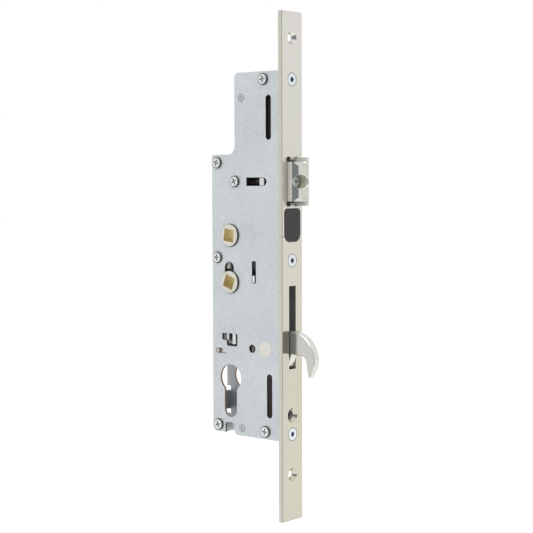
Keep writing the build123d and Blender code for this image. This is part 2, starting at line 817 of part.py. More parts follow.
# Lower follower: its arm lifts the drive slide
with BuildPart() as lower_hub:
    follower_hub()
    with BuildSketch(side_plane(far_layer[1], turn=-lower_half_turn)):
        neck_start = arm_length - arm_neck_length
        outline([
            (0, -arm_width / 2, 0), (neck_start, -arm_neck_width / 2, 0), (arm_length, -arm_neck_width / 2, 0),
            (arm_length, arm_neck_width / 2, 0), (neck_start, arm_neck_width / 2, 0), (0, arm_width / 2, 0),
        ])
        with Locations((arm_length, 0)):
            Circle(arm_tip_radius)
    extrude(amount=layer_thickness)
    square_hole(lower_square_angle)
lower_follower = Pos(0, 0, lower_spindle_z) * lower_hub.part
finish(lower_follower, "lower_follower")

# Latch lever: one fork on the follower's lobe, one on the rod's pin
with BuildPart() as latch_lever:
    with BuildSketch(side_plane(far_layer[1], lever_x, upper_spindle_z, -lever_half_turn)):
        Circle(lever_boss_radius)
        lobe_slot = lobe_tip_radius + slide_clearance
        pin_slot = lever_pin_radius + slide_clearance
        pin_reach = dist((0, 0), (latch_travel / 2, latch_z - upper_spindle_z))
        low_tine = lobe_slot + lever_tine
        side_tine = pin_slot + lever_tine
        block((-lever_arm - fork_beyond, 0), (-low_tine, low_tine), lock_corner)
        block((-lever_arm_width / 2, lever_arm_width / 2), (0, pin_reach - fork_depth))
        block((-side_tine, side_tine), (pin_reach - 2 * fork_depth, pin_reach + pin_fork_beyond), lock_corner)
        block((-lever_arm - overrun, fork_depth - lever_arm), (-lobe_slot, lobe_slot), 0, Mode.SUBTRACT)
        block((-pin_slot, pin_slot), (pin_reach - fork_depth, pin_reach + overrun), 0, Mode.SUBTRACT)
        Circle(lever_pin_bore_radius + running_clearance, mode=Mode.SUBTRACT)
    extrude(amount=layer_thickness)
finish(latch_lever.part, "latch_lever")

# Pin that the latch lever turns on
with BuildPart() as lever_pivot_pin:
    with BuildSketch(side_plane(half_case, lever_x, upper_spindle_z)):
        Circle(lever_pin_bore_radius)
    extrude(amount=half_case - far_layer[0] + slide_clearance)
    with BuildSketch(side_plane(far_layer[0] - slide_clearance, lever_x, upper_spindle_z)):
        Circle(lever_boss_radius)
    extrude(amount=guide_thickness)
finish(lever_pivot_pin.part, "lever_pivot_pin")


def hook_point(share):
    """A point of the hook's outline, given as shares of its reach from the pivot."""
    return (hook_pivot[0] + hook_reach * share[0], hook_pivot[1] + hook_reach * share[1])


# Hook with the radial slot that the drive pin runs in
with BuildPart() as hook:
    with BuildSketch(side_plane(hook_thickness / 2)):
        throat = hook_point(hook_throat_share)
        inner_tip, outer_tip = [hook_point(share) for share in hook_tip_shares]
        lobe = [hook_point(share) for share in hook_lobe_shares]
        with BuildLine() as hook_border:
            outer = ThreePointArc(outer_tip, hook_point(hook_crown_share), hook_point(hook_neck_share))
            Polyline(outer @ 1, hook_point(hook_root_share), hook_point(hook_back_share),
                     hook_point(hook_belly_share), *lobe, throat, inner_tip, outer_tip)
        make_face(hook_border.line)
        throat_corner = hook_reach * hook_throat_corner_share
        fillet(vertices().sort_by_distance(Vector(*throat))[0], throat_corner)
        for corner in (inner_tip, outer_tip):
            fillet(vertices().sort_by_distance(Vector(*corner))[0], hook_reach * hook_tip_corner_share)
        for corner in lobe[:2]:
            fillet(vertices().sort_by_distance(Vector(*corner))[0], hook_reach * hook_lobe_corner_share)
        with Locations(hook_pivot):
            Circle(hook_boss_radius)
    extrude(amount=hook_thickness)
    bill = edges().filter_by(GeomType.CIRCLE).filter_by(lambda e: (e @ (1 / 2)).X > back_set + hook_thickness)
    rounded = bill.filter_by(lambda e: dist(tuple(e @ (1 / 2))[::2], throat) > throat_corner)
    fillet(rounded, hook_edge)
    taper_z = hook_pivot[1] + hook_reach * hook_taper_share
    with BuildSketch(front_plane(front_x + hook_thickness)):
        far_y, tip_z = hook_thickness / 2, inner_tip[1]
        outline([(far_y, taper_z, 0), (hook_tip_thickness - far_y, tip_z, 0),
                 (hook_tip_thickness - far_y, tip_z - overrun, 0), (far_y, tip_z - overrun, 0)])
    extrude(amount=hook_reach, mode=Mode.SUBTRACT)
    slot_half_width = drive_pin_radius + drive_slot_play
    slot_middle = drive_pin_offset / cos(radians(hook_swing / 2))
    with BuildSketch(side_plane(hook_thickness / 2, *hook_pivot, -hook_swing / 2)):
        block((drive_pin_offset - slot_half_width, slot_middle + slot_half_width),
              (-slot_half_width, slot_half_width), slot_half_width - seat_clearance)
        Circle(hook_pin_radius + running_clearance)
    extrude(amount=hook_thickness, mode=Mode.SUBTRACT)
finish(hook.part, "hook")

# Slotted pin that the hook turns on, through both sides
with BuildPart() as hook_pivot_pin:
    with BuildSketch(side_plane(half_case, *hook_pivot)):
        Circle(hook_pin_radius)
    extrude(amount=case_thickness - pin_recess)
    with BuildSketch(side_plane(pin_recess - half_case, *hook_pivot)):
        Rectangle(pin_kerf_width, 2 * hook_pin_radius, rotation=screw_turns[1])
    extrude(amount=-pin_kerf_depth, mode=Mode.SUBTRACT)
finish(hook_pivot_pin.part, "hook_pivot_pin")

# Drive slide with the notch for the follower's arm and the slots for its guide studs
arm_tip_z = lower_spindle_z - drive_travel / 2
with BuildPart() as drive_slide:
    with BuildSketch(side_plane(far_layer[1])):
        outline([
            (drive_slide_x[0], drive_slide_z[0], drive_corner),
            (drive_slide_x[1], drive_slide_z[0], drive_corner),
            (drive_slide_x[1], drive_neck_top_z, drive_corner),
            (drive_neck_x, drive_neck_top_z, drive_corner),
            (drive_neck_x, drive_slide_z[1], 0),
            (drive_slide_x[0], drive_slide_z[1], drive_corner),
        ])
        notch_half = arm_tip_radius + arm_notch_play
        block((drive_slide_x[0] - overrun, arm_length + arm_tip_radius + arm_notch_play),
              (arm_tip_z - notch_half, arm_tip_z + notch_half), 0, Mode.SUBTRACT)
        stud_slot = guide_stud_radius + slide_clearance
        for z in guide_stud_z:
            with Locations((guide_stud_x, z - drive_travel / 2)):
                SlotCenterToCenter(drive_travel + 2 * side_clearance, 2 * stud_slot, rotation=90, mode=Mode.SUBTRACT)
        with Locations(drive_pin_place):
            Circle(drive_pin_radius + seat_clearance, mode=Mode.SUBTRACT)
    extrude(amount=layer_thickness)
finish(drive_slide.part, "drive_slide")

# Pin of the drive slide in the hook's slot
with BuildPart() as drive_pin:
    with BuildSketch(side_plane(far_layer[1], *drive_pin_place)):
        Circle(drive_pin_radius)
    extrude(amount=far_layer[1] + hook_thickness / 2)
finish(drive_pin.part, "drive_pin")

# Studs that guide the drive slide
with BuildPart() as drive_guide_studs:
    with BuildSketch(side_plane(half_case)):
        with Locations(*[(guide_stud_x, z) for z in guide_stud_z]):
            Circle(guide_stud_radius)
    extrude(amount=half_case - far_layer[0] + slide_clearance)
finish(drive_guide_studs.part, "drive_guide_studs")

# Lock slide: the cylinder's cam pushes its leg, and its tab shows in the window
lock_thickness = lock_layer[1] - lock_layer[0]
with BuildPart() as lock_slide:
    with BuildSketch(side_plane(lock_layer[1])):
        block(lock_slide_x, lock_slide_z, lock_corner)
        block(lock_leg_x, (lock_leg_bottom_z, lock_slide_z[1]), lock_corner)
        block(lock_foot_x, (lock_leg_bottom_z, lock_foot_top_z), lock_corner)
        for tab_x in lock_tabs_x:
            block(tab_x, (lock_tab_bottom_z, lock_slide_z[1]), lock_tab_corner)
        with Locations((slide_stud_place[0] - lock_travel / 2, slide_stud_place[1])):
            SlotCenterToCenter(lock_travel, 2 * (slide_stud_radius + slide_clearance), mode=Mode.SUBTRACT)
        with Locations(slide_pin_place):
            Circle(slide_pin_radius + seat_clearance, mode=Mode.SUBTRACT)
        with Locations((peg_x, peg_slot_z)):
            Circle(peg_radius + seat_clearance, mode=Mode.SUBTRACT)
    extrude(amount=lock_thickness)
finish(lock_slide.part, "lock_slide")

# Peg of the lock slide in the cover's oblong hole
with BuildPart() as slide_peg:
    with BuildSketch(side_plane(lock_layer[1], peg_x, peg_slot_z)):
        Circle(peg_radius)
    extrude(amount=lock_layer[1] + half_case)
finish(slide_peg.part, "slide_peg")

# Pin of the lock slide in the ramp of the blocking slide
with BuildPart() as slide_pin:
    with BuildSketch(side_plane(blocking_layer[1], *slide_pin_place)):
        Circle(slide_pin_radius)
    extrude(amount=blocking_layer[1] - lock_layer[0])
finish(slide_pin.part, "slide_pin")

# Blocking slide: a foot with the ramp slot and a strip whose lug stands in the small upright slot
ramp_turn = -degrees(atan(blocking_travel / lock_travel))
ramp_length = dist((0, 0), (lock_travel, blocking_travel))
strip_lug_x = (small_slot_x[0] + slide_clearance, small_slot_x[0] + slide_clearance + strip_lug_width)
strip_lug_z = (small_slot_z[0] + slide_clearance, small_slot_z[1] - slide_clearance - blocking_travel)
with BuildPart() as blocking_slide:
    with BuildSketch(side_plane(blocking_layer[1])):
        outline([
            (foot_x[0], foot_z[0], lock_corner), (foot_cut[0], foot_z[0], lock_corner),
            (foot_x[1], foot_cut[1], lock_corner), (strip_x[1], strip_top_z, lock_corner),
            (strip_x[0], strip_top_z, lock_corner), (strip_x[0], foot_z[1], 0),
            (foot_x[0], foot_z[1], lock_corner),
        ])
        block((strip_x[0], strip_lug_x[1]), strip_lug_z)
        with Locations((slide_pin_place[0] + lock_travel / 2, slide_pin_place[1] - blocking_travel / 2)):
            SlotCenterToCenter(ramp_length, 2 * (slide_pin_radius + slide_clearance), rotation=ramp_turn,
                               mode=Mode.SUBTRACT)
        with Locations((slide_stud_place[0], slide_stud_place[1] - blocking_travel / 2)):
            SlotCenterToCenter(blocking_travel, 2 * (slide_stud_radius + slide_clearance), rotation=90,
                               mode=Mode.SUBTRACT)
    extrude(amount=blocking_layer[1] - blocking_layer[0])
    with BuildSketch(side_plane(blocking_layer[1])):
        block(strip_lug_x, strip_lug_z, lock_corner)
    extrude(amount=blocking_layer[1] - strip_lug_near_y)
finish(blocking_slide.part, "blocking_slide")

# Stud that guides both slides
with BuildPart() as slide_stud:
    with BuildSketch(side_plane(half_case, *slide_stud_place)):
        Circle(slide_stud_radius)
    extrude(amount=half_case - lock_layer[0])
finish(slide_stud.part, "slide_stud")

# Guide for the long bar
with BuildPart() as bar_guide:
    with BuildSketch(side_plane(bar_guide_y[1])):
        block(bar_guide_x, bar_guide_z, lock_corner)
    extrude(amount=bar_guide_y[1] - bar_guide_y[0])
finish(bar_guide.part, "bar_guide")

# Plunger on the lower follower, its guide block and its spring
plunger_edge_x = plunger_place[0] + plunger_radius
plunger_low_z = lower_spindle_z + sqrt(follower_collar_radius**2 - plunger_edge_x**2) + plunger_gap
plunger_top_z = plunger_low_z + plunger_length
spring_floor_z = plunger_top_z - plunger_bore_depth
block_low_z = plunger_top_z - plunger_cover
bore_top_z = plunger_top_z + plunger_travel + plunger_gap
with BuildPart() as follower_plunger:
    with BuildSketch(Plane.XY.offset(plunger_low_z)):
        with Locations(plunger_place):
            Circle(plunger_radius)
    extrude(amount=plunger_length)
    chamfer(faces().sort_by(Axis.Z)[0].edges(), follower_edge)
    with BuildSketch(Plane.XY.offset(spring_floor_z)):
        with Locations(plunger_place):
            Circle(plunger_bore_radius)
    extrude(amount=plunger_bore_depth, mode=Mode.SUBTRACT)
finish(follower_plunger.part, "follower_plunger")

with BuildPart() as plunger_guide:
    with BuildSketch(Plane.XY.offset(block_low_z)):
        block((plunger_place[0] - plunger_radius - plunger_block_lead, plunger_block_inner_x), (-half_gap, half_gap))
    extrude(amount=bore_top_z + plunger_block_wall - block_low_z)
    with BuildSketch(Plane.XY.offset(block_low_z)):
        with Locations(plunger_place):
            Circle(plunger_radius + running_clearance)
    extrude(amount=bore_top_z - block_low_z, mode=Mode.SUBTRACT)
finish(plunger_guide.part, "plunger_guide")

plunger_spring_low_z = spring_floor_z + seat_clearance + plunger_spring_wire_radius
plunger_spring_length = bore_top_z - seat_clearance - plunger_spring_wire_radius - plunger_spring_low_z
plunger_spring = coil(Plane(origin=(*plunger_place, plunger_spring_low_z)), plunger_spring_turn_radius,
                      plunger_spring_wire_radius, plunger_spring_length, plunger_spring_turns)
finish(plunger_spring, "plunger_spring")
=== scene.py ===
import math

import bmesh
import bpy
from mathutils import Matrix, Vector


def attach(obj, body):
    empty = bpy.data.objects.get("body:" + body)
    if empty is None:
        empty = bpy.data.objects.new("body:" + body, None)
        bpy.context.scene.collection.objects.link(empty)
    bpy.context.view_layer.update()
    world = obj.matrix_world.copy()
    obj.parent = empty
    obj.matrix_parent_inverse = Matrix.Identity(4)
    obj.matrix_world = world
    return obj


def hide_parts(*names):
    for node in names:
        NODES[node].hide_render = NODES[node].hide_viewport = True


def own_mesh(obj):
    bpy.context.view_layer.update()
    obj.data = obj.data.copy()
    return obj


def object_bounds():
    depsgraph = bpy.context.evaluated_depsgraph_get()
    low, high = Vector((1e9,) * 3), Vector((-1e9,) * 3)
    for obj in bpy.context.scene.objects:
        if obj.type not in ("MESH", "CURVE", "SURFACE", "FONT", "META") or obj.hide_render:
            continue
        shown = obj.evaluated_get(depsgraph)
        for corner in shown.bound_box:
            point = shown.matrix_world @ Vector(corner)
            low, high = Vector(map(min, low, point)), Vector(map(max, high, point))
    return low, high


bl_info = {
    "name": "Multipoint lock case",
    "version": (1, 0, 0),
    "blender": (4, 5, 0),
    "location": "3D View > Sidebar > Lock",
    "description": "Dresses the packed frame of a multipoint door lock and sets up its studio",
    "category": "Object",
}

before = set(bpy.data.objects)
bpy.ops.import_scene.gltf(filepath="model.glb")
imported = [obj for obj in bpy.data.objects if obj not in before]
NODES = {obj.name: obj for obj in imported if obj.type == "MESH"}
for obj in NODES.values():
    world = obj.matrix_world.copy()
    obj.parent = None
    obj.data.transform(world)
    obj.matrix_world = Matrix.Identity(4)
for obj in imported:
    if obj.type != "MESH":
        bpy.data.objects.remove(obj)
CAD_BOX = [list(corner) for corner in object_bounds()]
MM = 0.001

# Middles of what the finishes are drawn round, in millimetres: X and Z on the case, Z alone on the faceplate
COVER_SCREWS = [(28.1, 190.3), (-10.8, 138.5), (4.3, 126.5), (-10.8, 77.5), (-10.3, -31.2), (29.3, -31.8)]
RIVETS = [(9.6, 179.3), (9.7, -31.8)]
HOOK_PIN = (18.3, 20.2)
UPPER_SPINDLE_Z = 92.0
LOWER_SPINDLE_Z = 62.0
FACEPLATE_SCREWS = [189.6, 77.0, -32.7]
LATCH_Z = 126.3

# Heads, in millimetres: where the face and the dull depth lie along the axis, and the radius of the rim; on
# zinc heads the depth and rim colours are painted shade
COVER_SCREW_HEAD = {"axis": "Y", "face": -8.95, "deep": -8.2, "rim": 3.1}
RIVET_HEAD = {"axis": "Y", "face": -7.9, "deep": -7.6, "rim": 1.95}
HOOK_PIN_HEAD = {"axis": "Y", "face": -6.93, "deep": -6.7, "rim": 2.6}
FACEPLATE_SCREW_HEAD = {"axis": "X", "face": 44.9, "deep": 44.5, "rim": 3.85}
LATCH_SCREW_HEAD = {"axis": "X", "face": 47.9, "deep": 47.3, "rim": 3.3}

# Zones that wear a colour of their own, some of them painted shade or painted highlight, in millimetres. Y
# is counted from the lock's middle plane
CUT_EDGE_FROM_Y = 6.26
SHADED_INSIDE_TO_Y = 6.3
CYLINDER_HOLE_HALF_WIDTH = 9.5
CYLINDER_HOLE_MIDDLE_Z = -8.75
CYLINDER_HOLE_HALF_HEIGHT = 18.75
FACEPLATE_EDGE_FROM_Y = 9.5
LATCH_BORE_RADIUS = 4.31
LATCH_BORE_FROM_X = 45.7
LATCH_HIGHLIGHT_RING_RADIUS = 4.45
LATCH_HIGHLIGHT_RING_HALF_WIDTH = 0.14
SQUARE_HOLE_RADIUS = 5.9
SQUARE_HOLE_TO_Y = 9.1
FOLLOWER_SHADED_SIDE_RADIUS = 7.05

# How much of a face's unit normal lies along Y: less on a cut edge, more on a flat side, and about the value
# given on a broken edge
CUT_EDGE_NORMAL = 0.3
FLAT_SIDE_NORMAL = 0.9
LATCH_SIDE_NORMAL = 0.95
HOOK_SIDE_NORMAL = 0.97
BROKEN_EDGE_NORMAL = 0.71
BROKEN_EDGE_SPREAD = 0.15

# Sockets of a Mix node that mixes colours, by number, because its sockets for numbers have the same names
FIRST = 6
SECOND = 7
MIXED = 2

# Nearly all of a noise lies between these
NOISE_SPAN = {"From Min": 0.3, "From Max": 0.7}

# How much the roughness varies over one metal, and how much rougher a dull face is than a glossy one
ROUGHNESS_SPREAD = 0.08
DULL_EXTRA = 0.3

# Points of a mesh that lie this near are one point, in millimetres, and edges bent more than this are sharp
SAME_POINT = 0.001
SHARP_ANGLE = math.radians(30)


def linear(hex_colour):
    """An sRGB hex colour as linear red, green, blue and alpha."""
    parts = [int(hex_colour[i:i + 2], 16) / 255 for i in (1, 3, 5)]
    return [p / 12.92 if p <= 0.04045 else ((p + 0.055) / 1.055) ** 2.4 for p in parts] + [1.0]


def colour(name, description, default):
    """A colour setting, given as sRGB hex."""
    return bpy.props.FloatVectorProperty(name=name, description=description, subtype="COLOR", size=4,
                                         min=0, max=1, default=linear(default))


def share(name, description, default):
    """A setting from nought to one."""
    return bpy.props.FloatProperty(name=name, description=description, subtype="FACTOR", min=0, max=1,
                                   default=default)


def length(name, description, default):
    """A length setting, given in metres."""
    return bpy.props.FloatProperty(name=name, description=description, subtype="DISTANCE", unit="LENGTH",
                                   default=default, precision=5)


def position(name, description, default):
    """A setting for a place, given in metres."""
    return bpy.props.FloatVectorProperty(name=name, description=description, subtype="TRANSLATION",
                                         unit="LENGTH", default=default, precision=5)


class PlatingSettings(bpy.types.PropertyGroup):
    """Finishes of the steel pieces."""
    sheet: colour("Zinc sheet", "Matt zinc plating of the case", "#D2D7D9")
    sheet_dark: colour("Zinc sheet, darker grains", "Darker grains of the plating", "#B1B8BC")
    # Painted shade: the big faces inside the case and the rivets' dimples are painted in this darker colour
    sheet_inside_shade: colour("Zinc sheet inside", "Duller plating on the big faces inside the case", "#A9ADAF")
    cut_edge: colour("Cut edge", "Bare, slightly rusted cut edge in the cylinder hole", "#8A6E52")
    cut_edge_dark: colour("Cut edge elsewhere", "Dark cut edges everywhere else", "#55504B")
    faceplate: colour("Faceplate", "Champagne plating of the faceplate's lower end", "#CFCBBC")
    faceplate_dark: colour("Faceplate, darker streaks", "Drawing streaks of the lower end", "#C8C4B3")
    faceplate_top: colour("Faceplate, upper end", "Greyer plating of the upper end", "#DAD8D2")
    tint_pink: colour("Pink tint", "Faint pink in the upper end's chromate film", "#DED2D1")
    tint_green: colour("Green tint", "Faint green in the upper end's chromate film", "#D3D8CB")
    faceplate_side: colour("Faceplate side", "Greyer plating of the narrow sides", "#C4C2B9")
    # Painted highlight: the broken edges are painted this flat yellowish colour in place of their reflection
    faceplate_edge_highlight: colour("Faceplate edge", "Dull line along the broken edges", "#ADA38D")
    screw: colour("Screws", "Bright zinc of the screws", "#DEE2E0")
    # Painted shade: cross recesses are painted darker towards their bottoms
    screw_recess_shade: colour("Screw recess", "Dull zinc down in a cross recess", "#93A19F")
    # Painted shade: a dark ring painted round the screw heads' edges
    screw_rim_shade: colour("Screw rim", "Darkened zinc round the heads' edges", "#4B4A45")
    # Painted shade: a dark ring painted round the rivets' edges
    rivet_rim_shade: colour("Rivet rim", "Darkened zinc round the rivets' edges", "#6E6B67")
    star: colour("Star screws", "Bluish bright zinc of the faceplate's screws", "#E8EEF2")
    # Painted shade: star recesses are painted darker towards their bottoms
    star_recess_shade: colour("Star recess", "Dull zinc down in a star recess", "#5E7A88")
    hook: colour("Hook", "Nickel of the hook", "#C1C1BB")
    # Painted highlight: the hook's faces other than its sides are painted in this brighter colour
    hook_edge_highlight: colour("Hook edge", "Brighter nickel round the hook's edge", "#DDDDD8")
    latch: colour("Latch", "Nickel of the cast latch", "#D3D2CB")
    latch_bore: colour("Latch bore", "Olive-grey wall of the latch's counterbore", "#C9C9B8")
    # Painted highlight: a near-white ring painted round the latch's counterbore
    latch_rim_highlight: colour("Latch rim", "Polished ring round the counterbore", "#F5F4F0")
    slide: colour("Slides", "Galvanised slides", "#DCDEDD")
    post: colour("Posts", "Plain turned steel", "#B5B3AA")
    dark: colour("Phosphated steel", "Dark phosphated bars", "#9C9391")
    pin_end: colour("Pin end", "Dark end of the hook's pin", "#3B3634")
    plunger: colour("Plunger", "Grey turned plunger", "#D2CCC2")
    pin_slot: colour("Pin slot", "Bare steel in the slot of the hook's pin", "#C9C8C2")
    wire: colour("Spring wire", "Dark drawn wire", "#5A504B")
    grain: length("Grain", "Grain size of the zinc plating", 0.8 * MM)
    sheet_cloud: length("Sheet clouds", "Size of the faint clouds in the zinc plating", 22 * MM)
    sheet_cloud_share: share("Sheet clouds' share", "How strong the clouds are beside the grains", 0.35)
    streak: length("Streak", "Width of the faceplate's drawing streaks", 0.35 * MM)
    streak_band: length("Streak bands", "Width of the bands that the streaks gather in", 6 * MM)
    cloud: length("Film clouds", "Size of the pink and green clouds", 16 * MM)
    plating_change: length("Plating change", "Height where the faceplate's plating is all grey", 215 * MM)
    film_from: length("Film from", "Height at which the pink and green clouds begin", 120 * MM)
    film_depth: share("Film depth", "How much of the upper end's colour the clouds are", 0.45)


class CastSettings(bpy.types.PropertyGroup):
    """Finishes of the cast and moulded pieces."""
    follower: colour("Follower", "Passivated zinc casting", "#D3D1C6")
    # Painted shade: the follower ring's side is painted dark
    follower_side_shade: colour("Follower side", "Dark side of the follower's ring", "#2E2A26")
    # Painted light: the square hole's wall is painted lighter than the faces, standing in for light inside
    # the hole
    square: colour("Spindle square", "Broached olive wall of the spindle hole", "#EADCB2")
    plastic: colour("Insert", "Moulded plastic of the insert", "#2B292C")
    guide: colour("Bar guide", "Black moulded guide behind the upper slot", "#1B1A1B")
    plug: colour("Plug", "Light moulded plug in the cover", "#DBD9D0")


class TravelSettings(bpy.types.PropertyGroup):
    """Where the springs are held, and how far they are pressed."""
    latch_fixed: position("Latch spring's seat", "Fixed end of the latch spring",
                          (8.3 * MM, 0, 126.3 * MM))
    latch_travel: length("Latch travel", "How far the latch presses its spring", 10.05 * MM)
    plunger_fixed: position("Plunger spring's seat", "Fixed end of the plunger's spring",
                            (-4.15 * MM, 0, 82.6 * MM))
    plunger_travel: length("Plunger travel", "How far the plunger presses its spring", 1.55 * MM)


class StudioSettings(bpy.types.PropertyGroup):
    """Camera, lights, floor and backdrop."""
    focal: bpy.props.FloatProperty(name="Focal length", description="Lens of the camera in millimetres",
                                   default=95.2, min=10, max=400)
    sensor: bpy.props.FloatProperty(name="Sensor width", description="Width of the sensor in millimetres",
                                    default=36.0, min=1, max=100)
    camera: position("Camera", "Where the camera stands", (0.598957, -0.684426, 0.129426))
    target: position("Target", "What the camera looks at", (0.011046, 0.015208, 0.071195))
    roll: bpy.props.FloatProperty(name="Roll", description="Turn of the camera about its view",
                                  subtype="ANGLE", unit="ROTATION", default=math.radians(-0.1658))
    floor: colour("Floor", "Colour of the floor", "#F4F4F4")
    floor_reach: length("Floor reach", "From the middle of the floor to its sides", 3.0)
    floor_glow: share("Floor whiteness", "How much of the seen floor is plain white", 0.8)
    floor_shade: share("Floor shade", "How much of the seen floor is lit, so that it keeps a shadow", 0.38)
    ambient: bpy.props.FloatProperty(name="Ambient", description="Strength of the light from all round",
                                     default=0.74, min=0, max=4)
    key: bpy.props.FloatProperty(name="Key light", description="Power of the key lamp in watts",
                                 default=9.0, min=0, max=500)
    key_size: length("Key light's size", "Width and height of the key lamp", 1.0)
    key_place: position("Key light's place", "Where the key lamp hangs", (0.2, -1.1, 1.2))
    card: colour("Dark card", "Card that shows only where something is glossy", "#868C93")
    card_start: length("Card on the floor", "From the lock to where the card on the floor begins", 0.45)
    card_distance: length("Card distance", "From the lock to the standing card", 1.5)
    card_width: length("Card width", "Width of the dark card", 1.15)
    card_height: length("Card height", "Height of the standing card", 1.6)


def settings(name):
    """One of the scene's groups of settings."""
    return getattr(bpy.context.scene, name)


def node(tree, kind, inputs=None, **options):
    """Adds a node with its options, and sets or links its inputs."""
    made = tree.nodes.new(kind)
    for name, value in options.items():
        setattr(made, name, value)
    for name, value in (inputs or {}).items():
        if isinstance(value, bpy.types.NodeSocket):
            tree.links.new(value, made.inputs[name])
        else:
            made.inputs[name].default_value = value
    return made


def new_material(name):
    """A material with an empty node tree."""
    material = bpy.data.materials.new(name)
    material.use_nodes = True
    tree = material.node_tree
    tree.nodes.clear()
    return material, tree


def dress(material, *names):
    """Gives CAD nodes a material."""
    for name in names:
        data = NODES[name].data
        data.materials.clear()
        data.materials.append(material)


def zinc_plated_sheet():
    """Zinc-plated cold-rolled sheet: matt blue-grey with grains, dark cut edges, rust in one hole, painted
    shade inside.
    """
    s = settings("plating")
    material, tree = new_material("zinc_plated_sheet")
    place = node(tree, "ShaderNodeTexCoord").outputs["Object"]
    # The real crystals are too fine to show, so the grains are drawn coarser
    grain = node(tree, "ShaderNodeTexNoise",
                 {"Vector": place, "Scale": 1 / s.grain, "Detail": 3.0, "Roughness": 0.6})
    cloud = node(tree, "ShaderNodeTexNoise", {"Vector": place, "Scale": 1 / s.sheet_cloud, "Detail": 3.0})
    faint = node(tree, "ShaderNodeMath", {0: cloud.outputs["Fac"], 1: s.sheet_cloud_share},
                 operation="MULTIPLY")
    both = node(tree, "ShaderNodeMath", {0: grain.outputs["Fac"], 1: faint.outputs[0]}, operation="ADD")
    amount = node(tree, "ShaderNodeMapRange", {"Value": both.outputs[0], "From Min": 0.42, "From Max": 0.9})
    plating = node(tree, "ShaderNodeMix",
                   {"Factor": amount.outputs[0], FIRST: s.sheet_dark, SECOND: s.sheet}, data_type="RGBA")
    # The sheets' cut edges face along X or Z and lie beyond the inside of the case
    facing = node(tree, "ShaderNodeNewGeometry").outputs["Normal"]
    across = node(tree, "ShaderNodeSeparateXYZ", {0: facing}).outputs["Y"]
    flat = node(tree, "ShaderNodeMath", {0: across}, operation="ABSOLUTE")
    edge_side = node(tree, "ShaderNodeMath", {0: flat.outputs[0], 1: CUT_EDGE_NORMAL},
                     operation="LESS_THAN")
    parts = node(tree, "ShaderNodeSeparateXYZ", {0: place})
    out = node(tree, "ShaderNodeMath", {0: parts.outputs["Y"]}, operation="ABSOLUTE")
    in_sheet = node(tree, "ShaderNodeMath", {0: out.outputs[0], 1: CUT_EDGE_FROM_Y * MM},
                    operation="GREATER_THAN")
    edge = node(tree, "ShaderNodeMath", {0: edge_side.outputs[0], 1: in_sheet.outputs[0]},
                operation="MULTIPLY")
    # Only the cylinder hole's edge is rusty
    beside = node(tree, "ShaderNodeMath",
                  {0: parts.outputs["X"], 1: 0.0, 2: CYLINDER_HOLE_HALF_WIDTH * MM}, operation="COMPARE")
    level = node(tree, "ShaderNodeMath",
                 {0: parts.outputs["Z"], 1: CYLINDER_HOLE_MIDDLE_Z * MM, 2: CYLINDER_HOLE_HALF_HEIGHT * MM},
                 operation="COMPARE")
    rusty = node(tree, "ShaderNodeMath", {0: beside.outputs[0], 1: level.outputs[0]}, operation="MULTIPLY")
    edges = node(tree, "ShaderNodeMix",
                 {"Factor": rusty.outputs[0], FIRST: s.cut_edge_dark, SECOND: s.cut_edge}, data_type="RGBA")
    # The big faces inside the case are painted darker, as painted shade inside the case
    inward = node(tree, "ShaderNodeMath", {0: out.outputs[0], 1: SHADED_INSIDE_TO_Y * MM}, operation="LESS_THAN")
    broad = node(tree, "ShaderNodeMath", {0: flat.outputs[0], 1: FLAT_SIDE_NORMAL},
                 operation="GREATER_THAN")
    painted_inside_shade = node(tree, "ShaderNodeMath", {0: inward.outputs[0], 1: broad.outputs[0]},
                  operation="MULTIPLY")
    with_inside_shade = node(tree, "ShaderNodeMix",
                  {"Factor": painted_inside_shade.outputs[0], FIRST: plating.outputs[MIXED], SECOND: s.sheet_inside_shade},
                  data_type="RGBA")
    colours = node(tree, "ShaderNodeMix",
                   {"Factor": edge.outputs[0], FIRST: with_inside_shade.outputs[MIXED], SECOND: edges.outputs[MIXED]},
                   data_type="RGBA")
    rough = node(tree, "ShaderNodeMapRange",
                 {"Value": grain.outputs["Fac"], **NOISE_SPAN, "To Min": 0.36, "To Max": 0.5})
    bump = node(tree, "ShaderNodeBump",
                {"Height": grain.outputs["Fac"], "Strength": 0.14, "Distance": 0.05 * MM})
    shader = node(tree, "ShaderNodeBsdfPrincipled",
                  {"Base Color": colours.outputs[MIXED], "Metallic": 0.55, "Roughness": rough.outputs[0],
                   "Normal": bump.outputs[0]})
    node(tree, "ShaderNodeOutputMaterial", {"Surface": shader.outputs[0]})
    return material


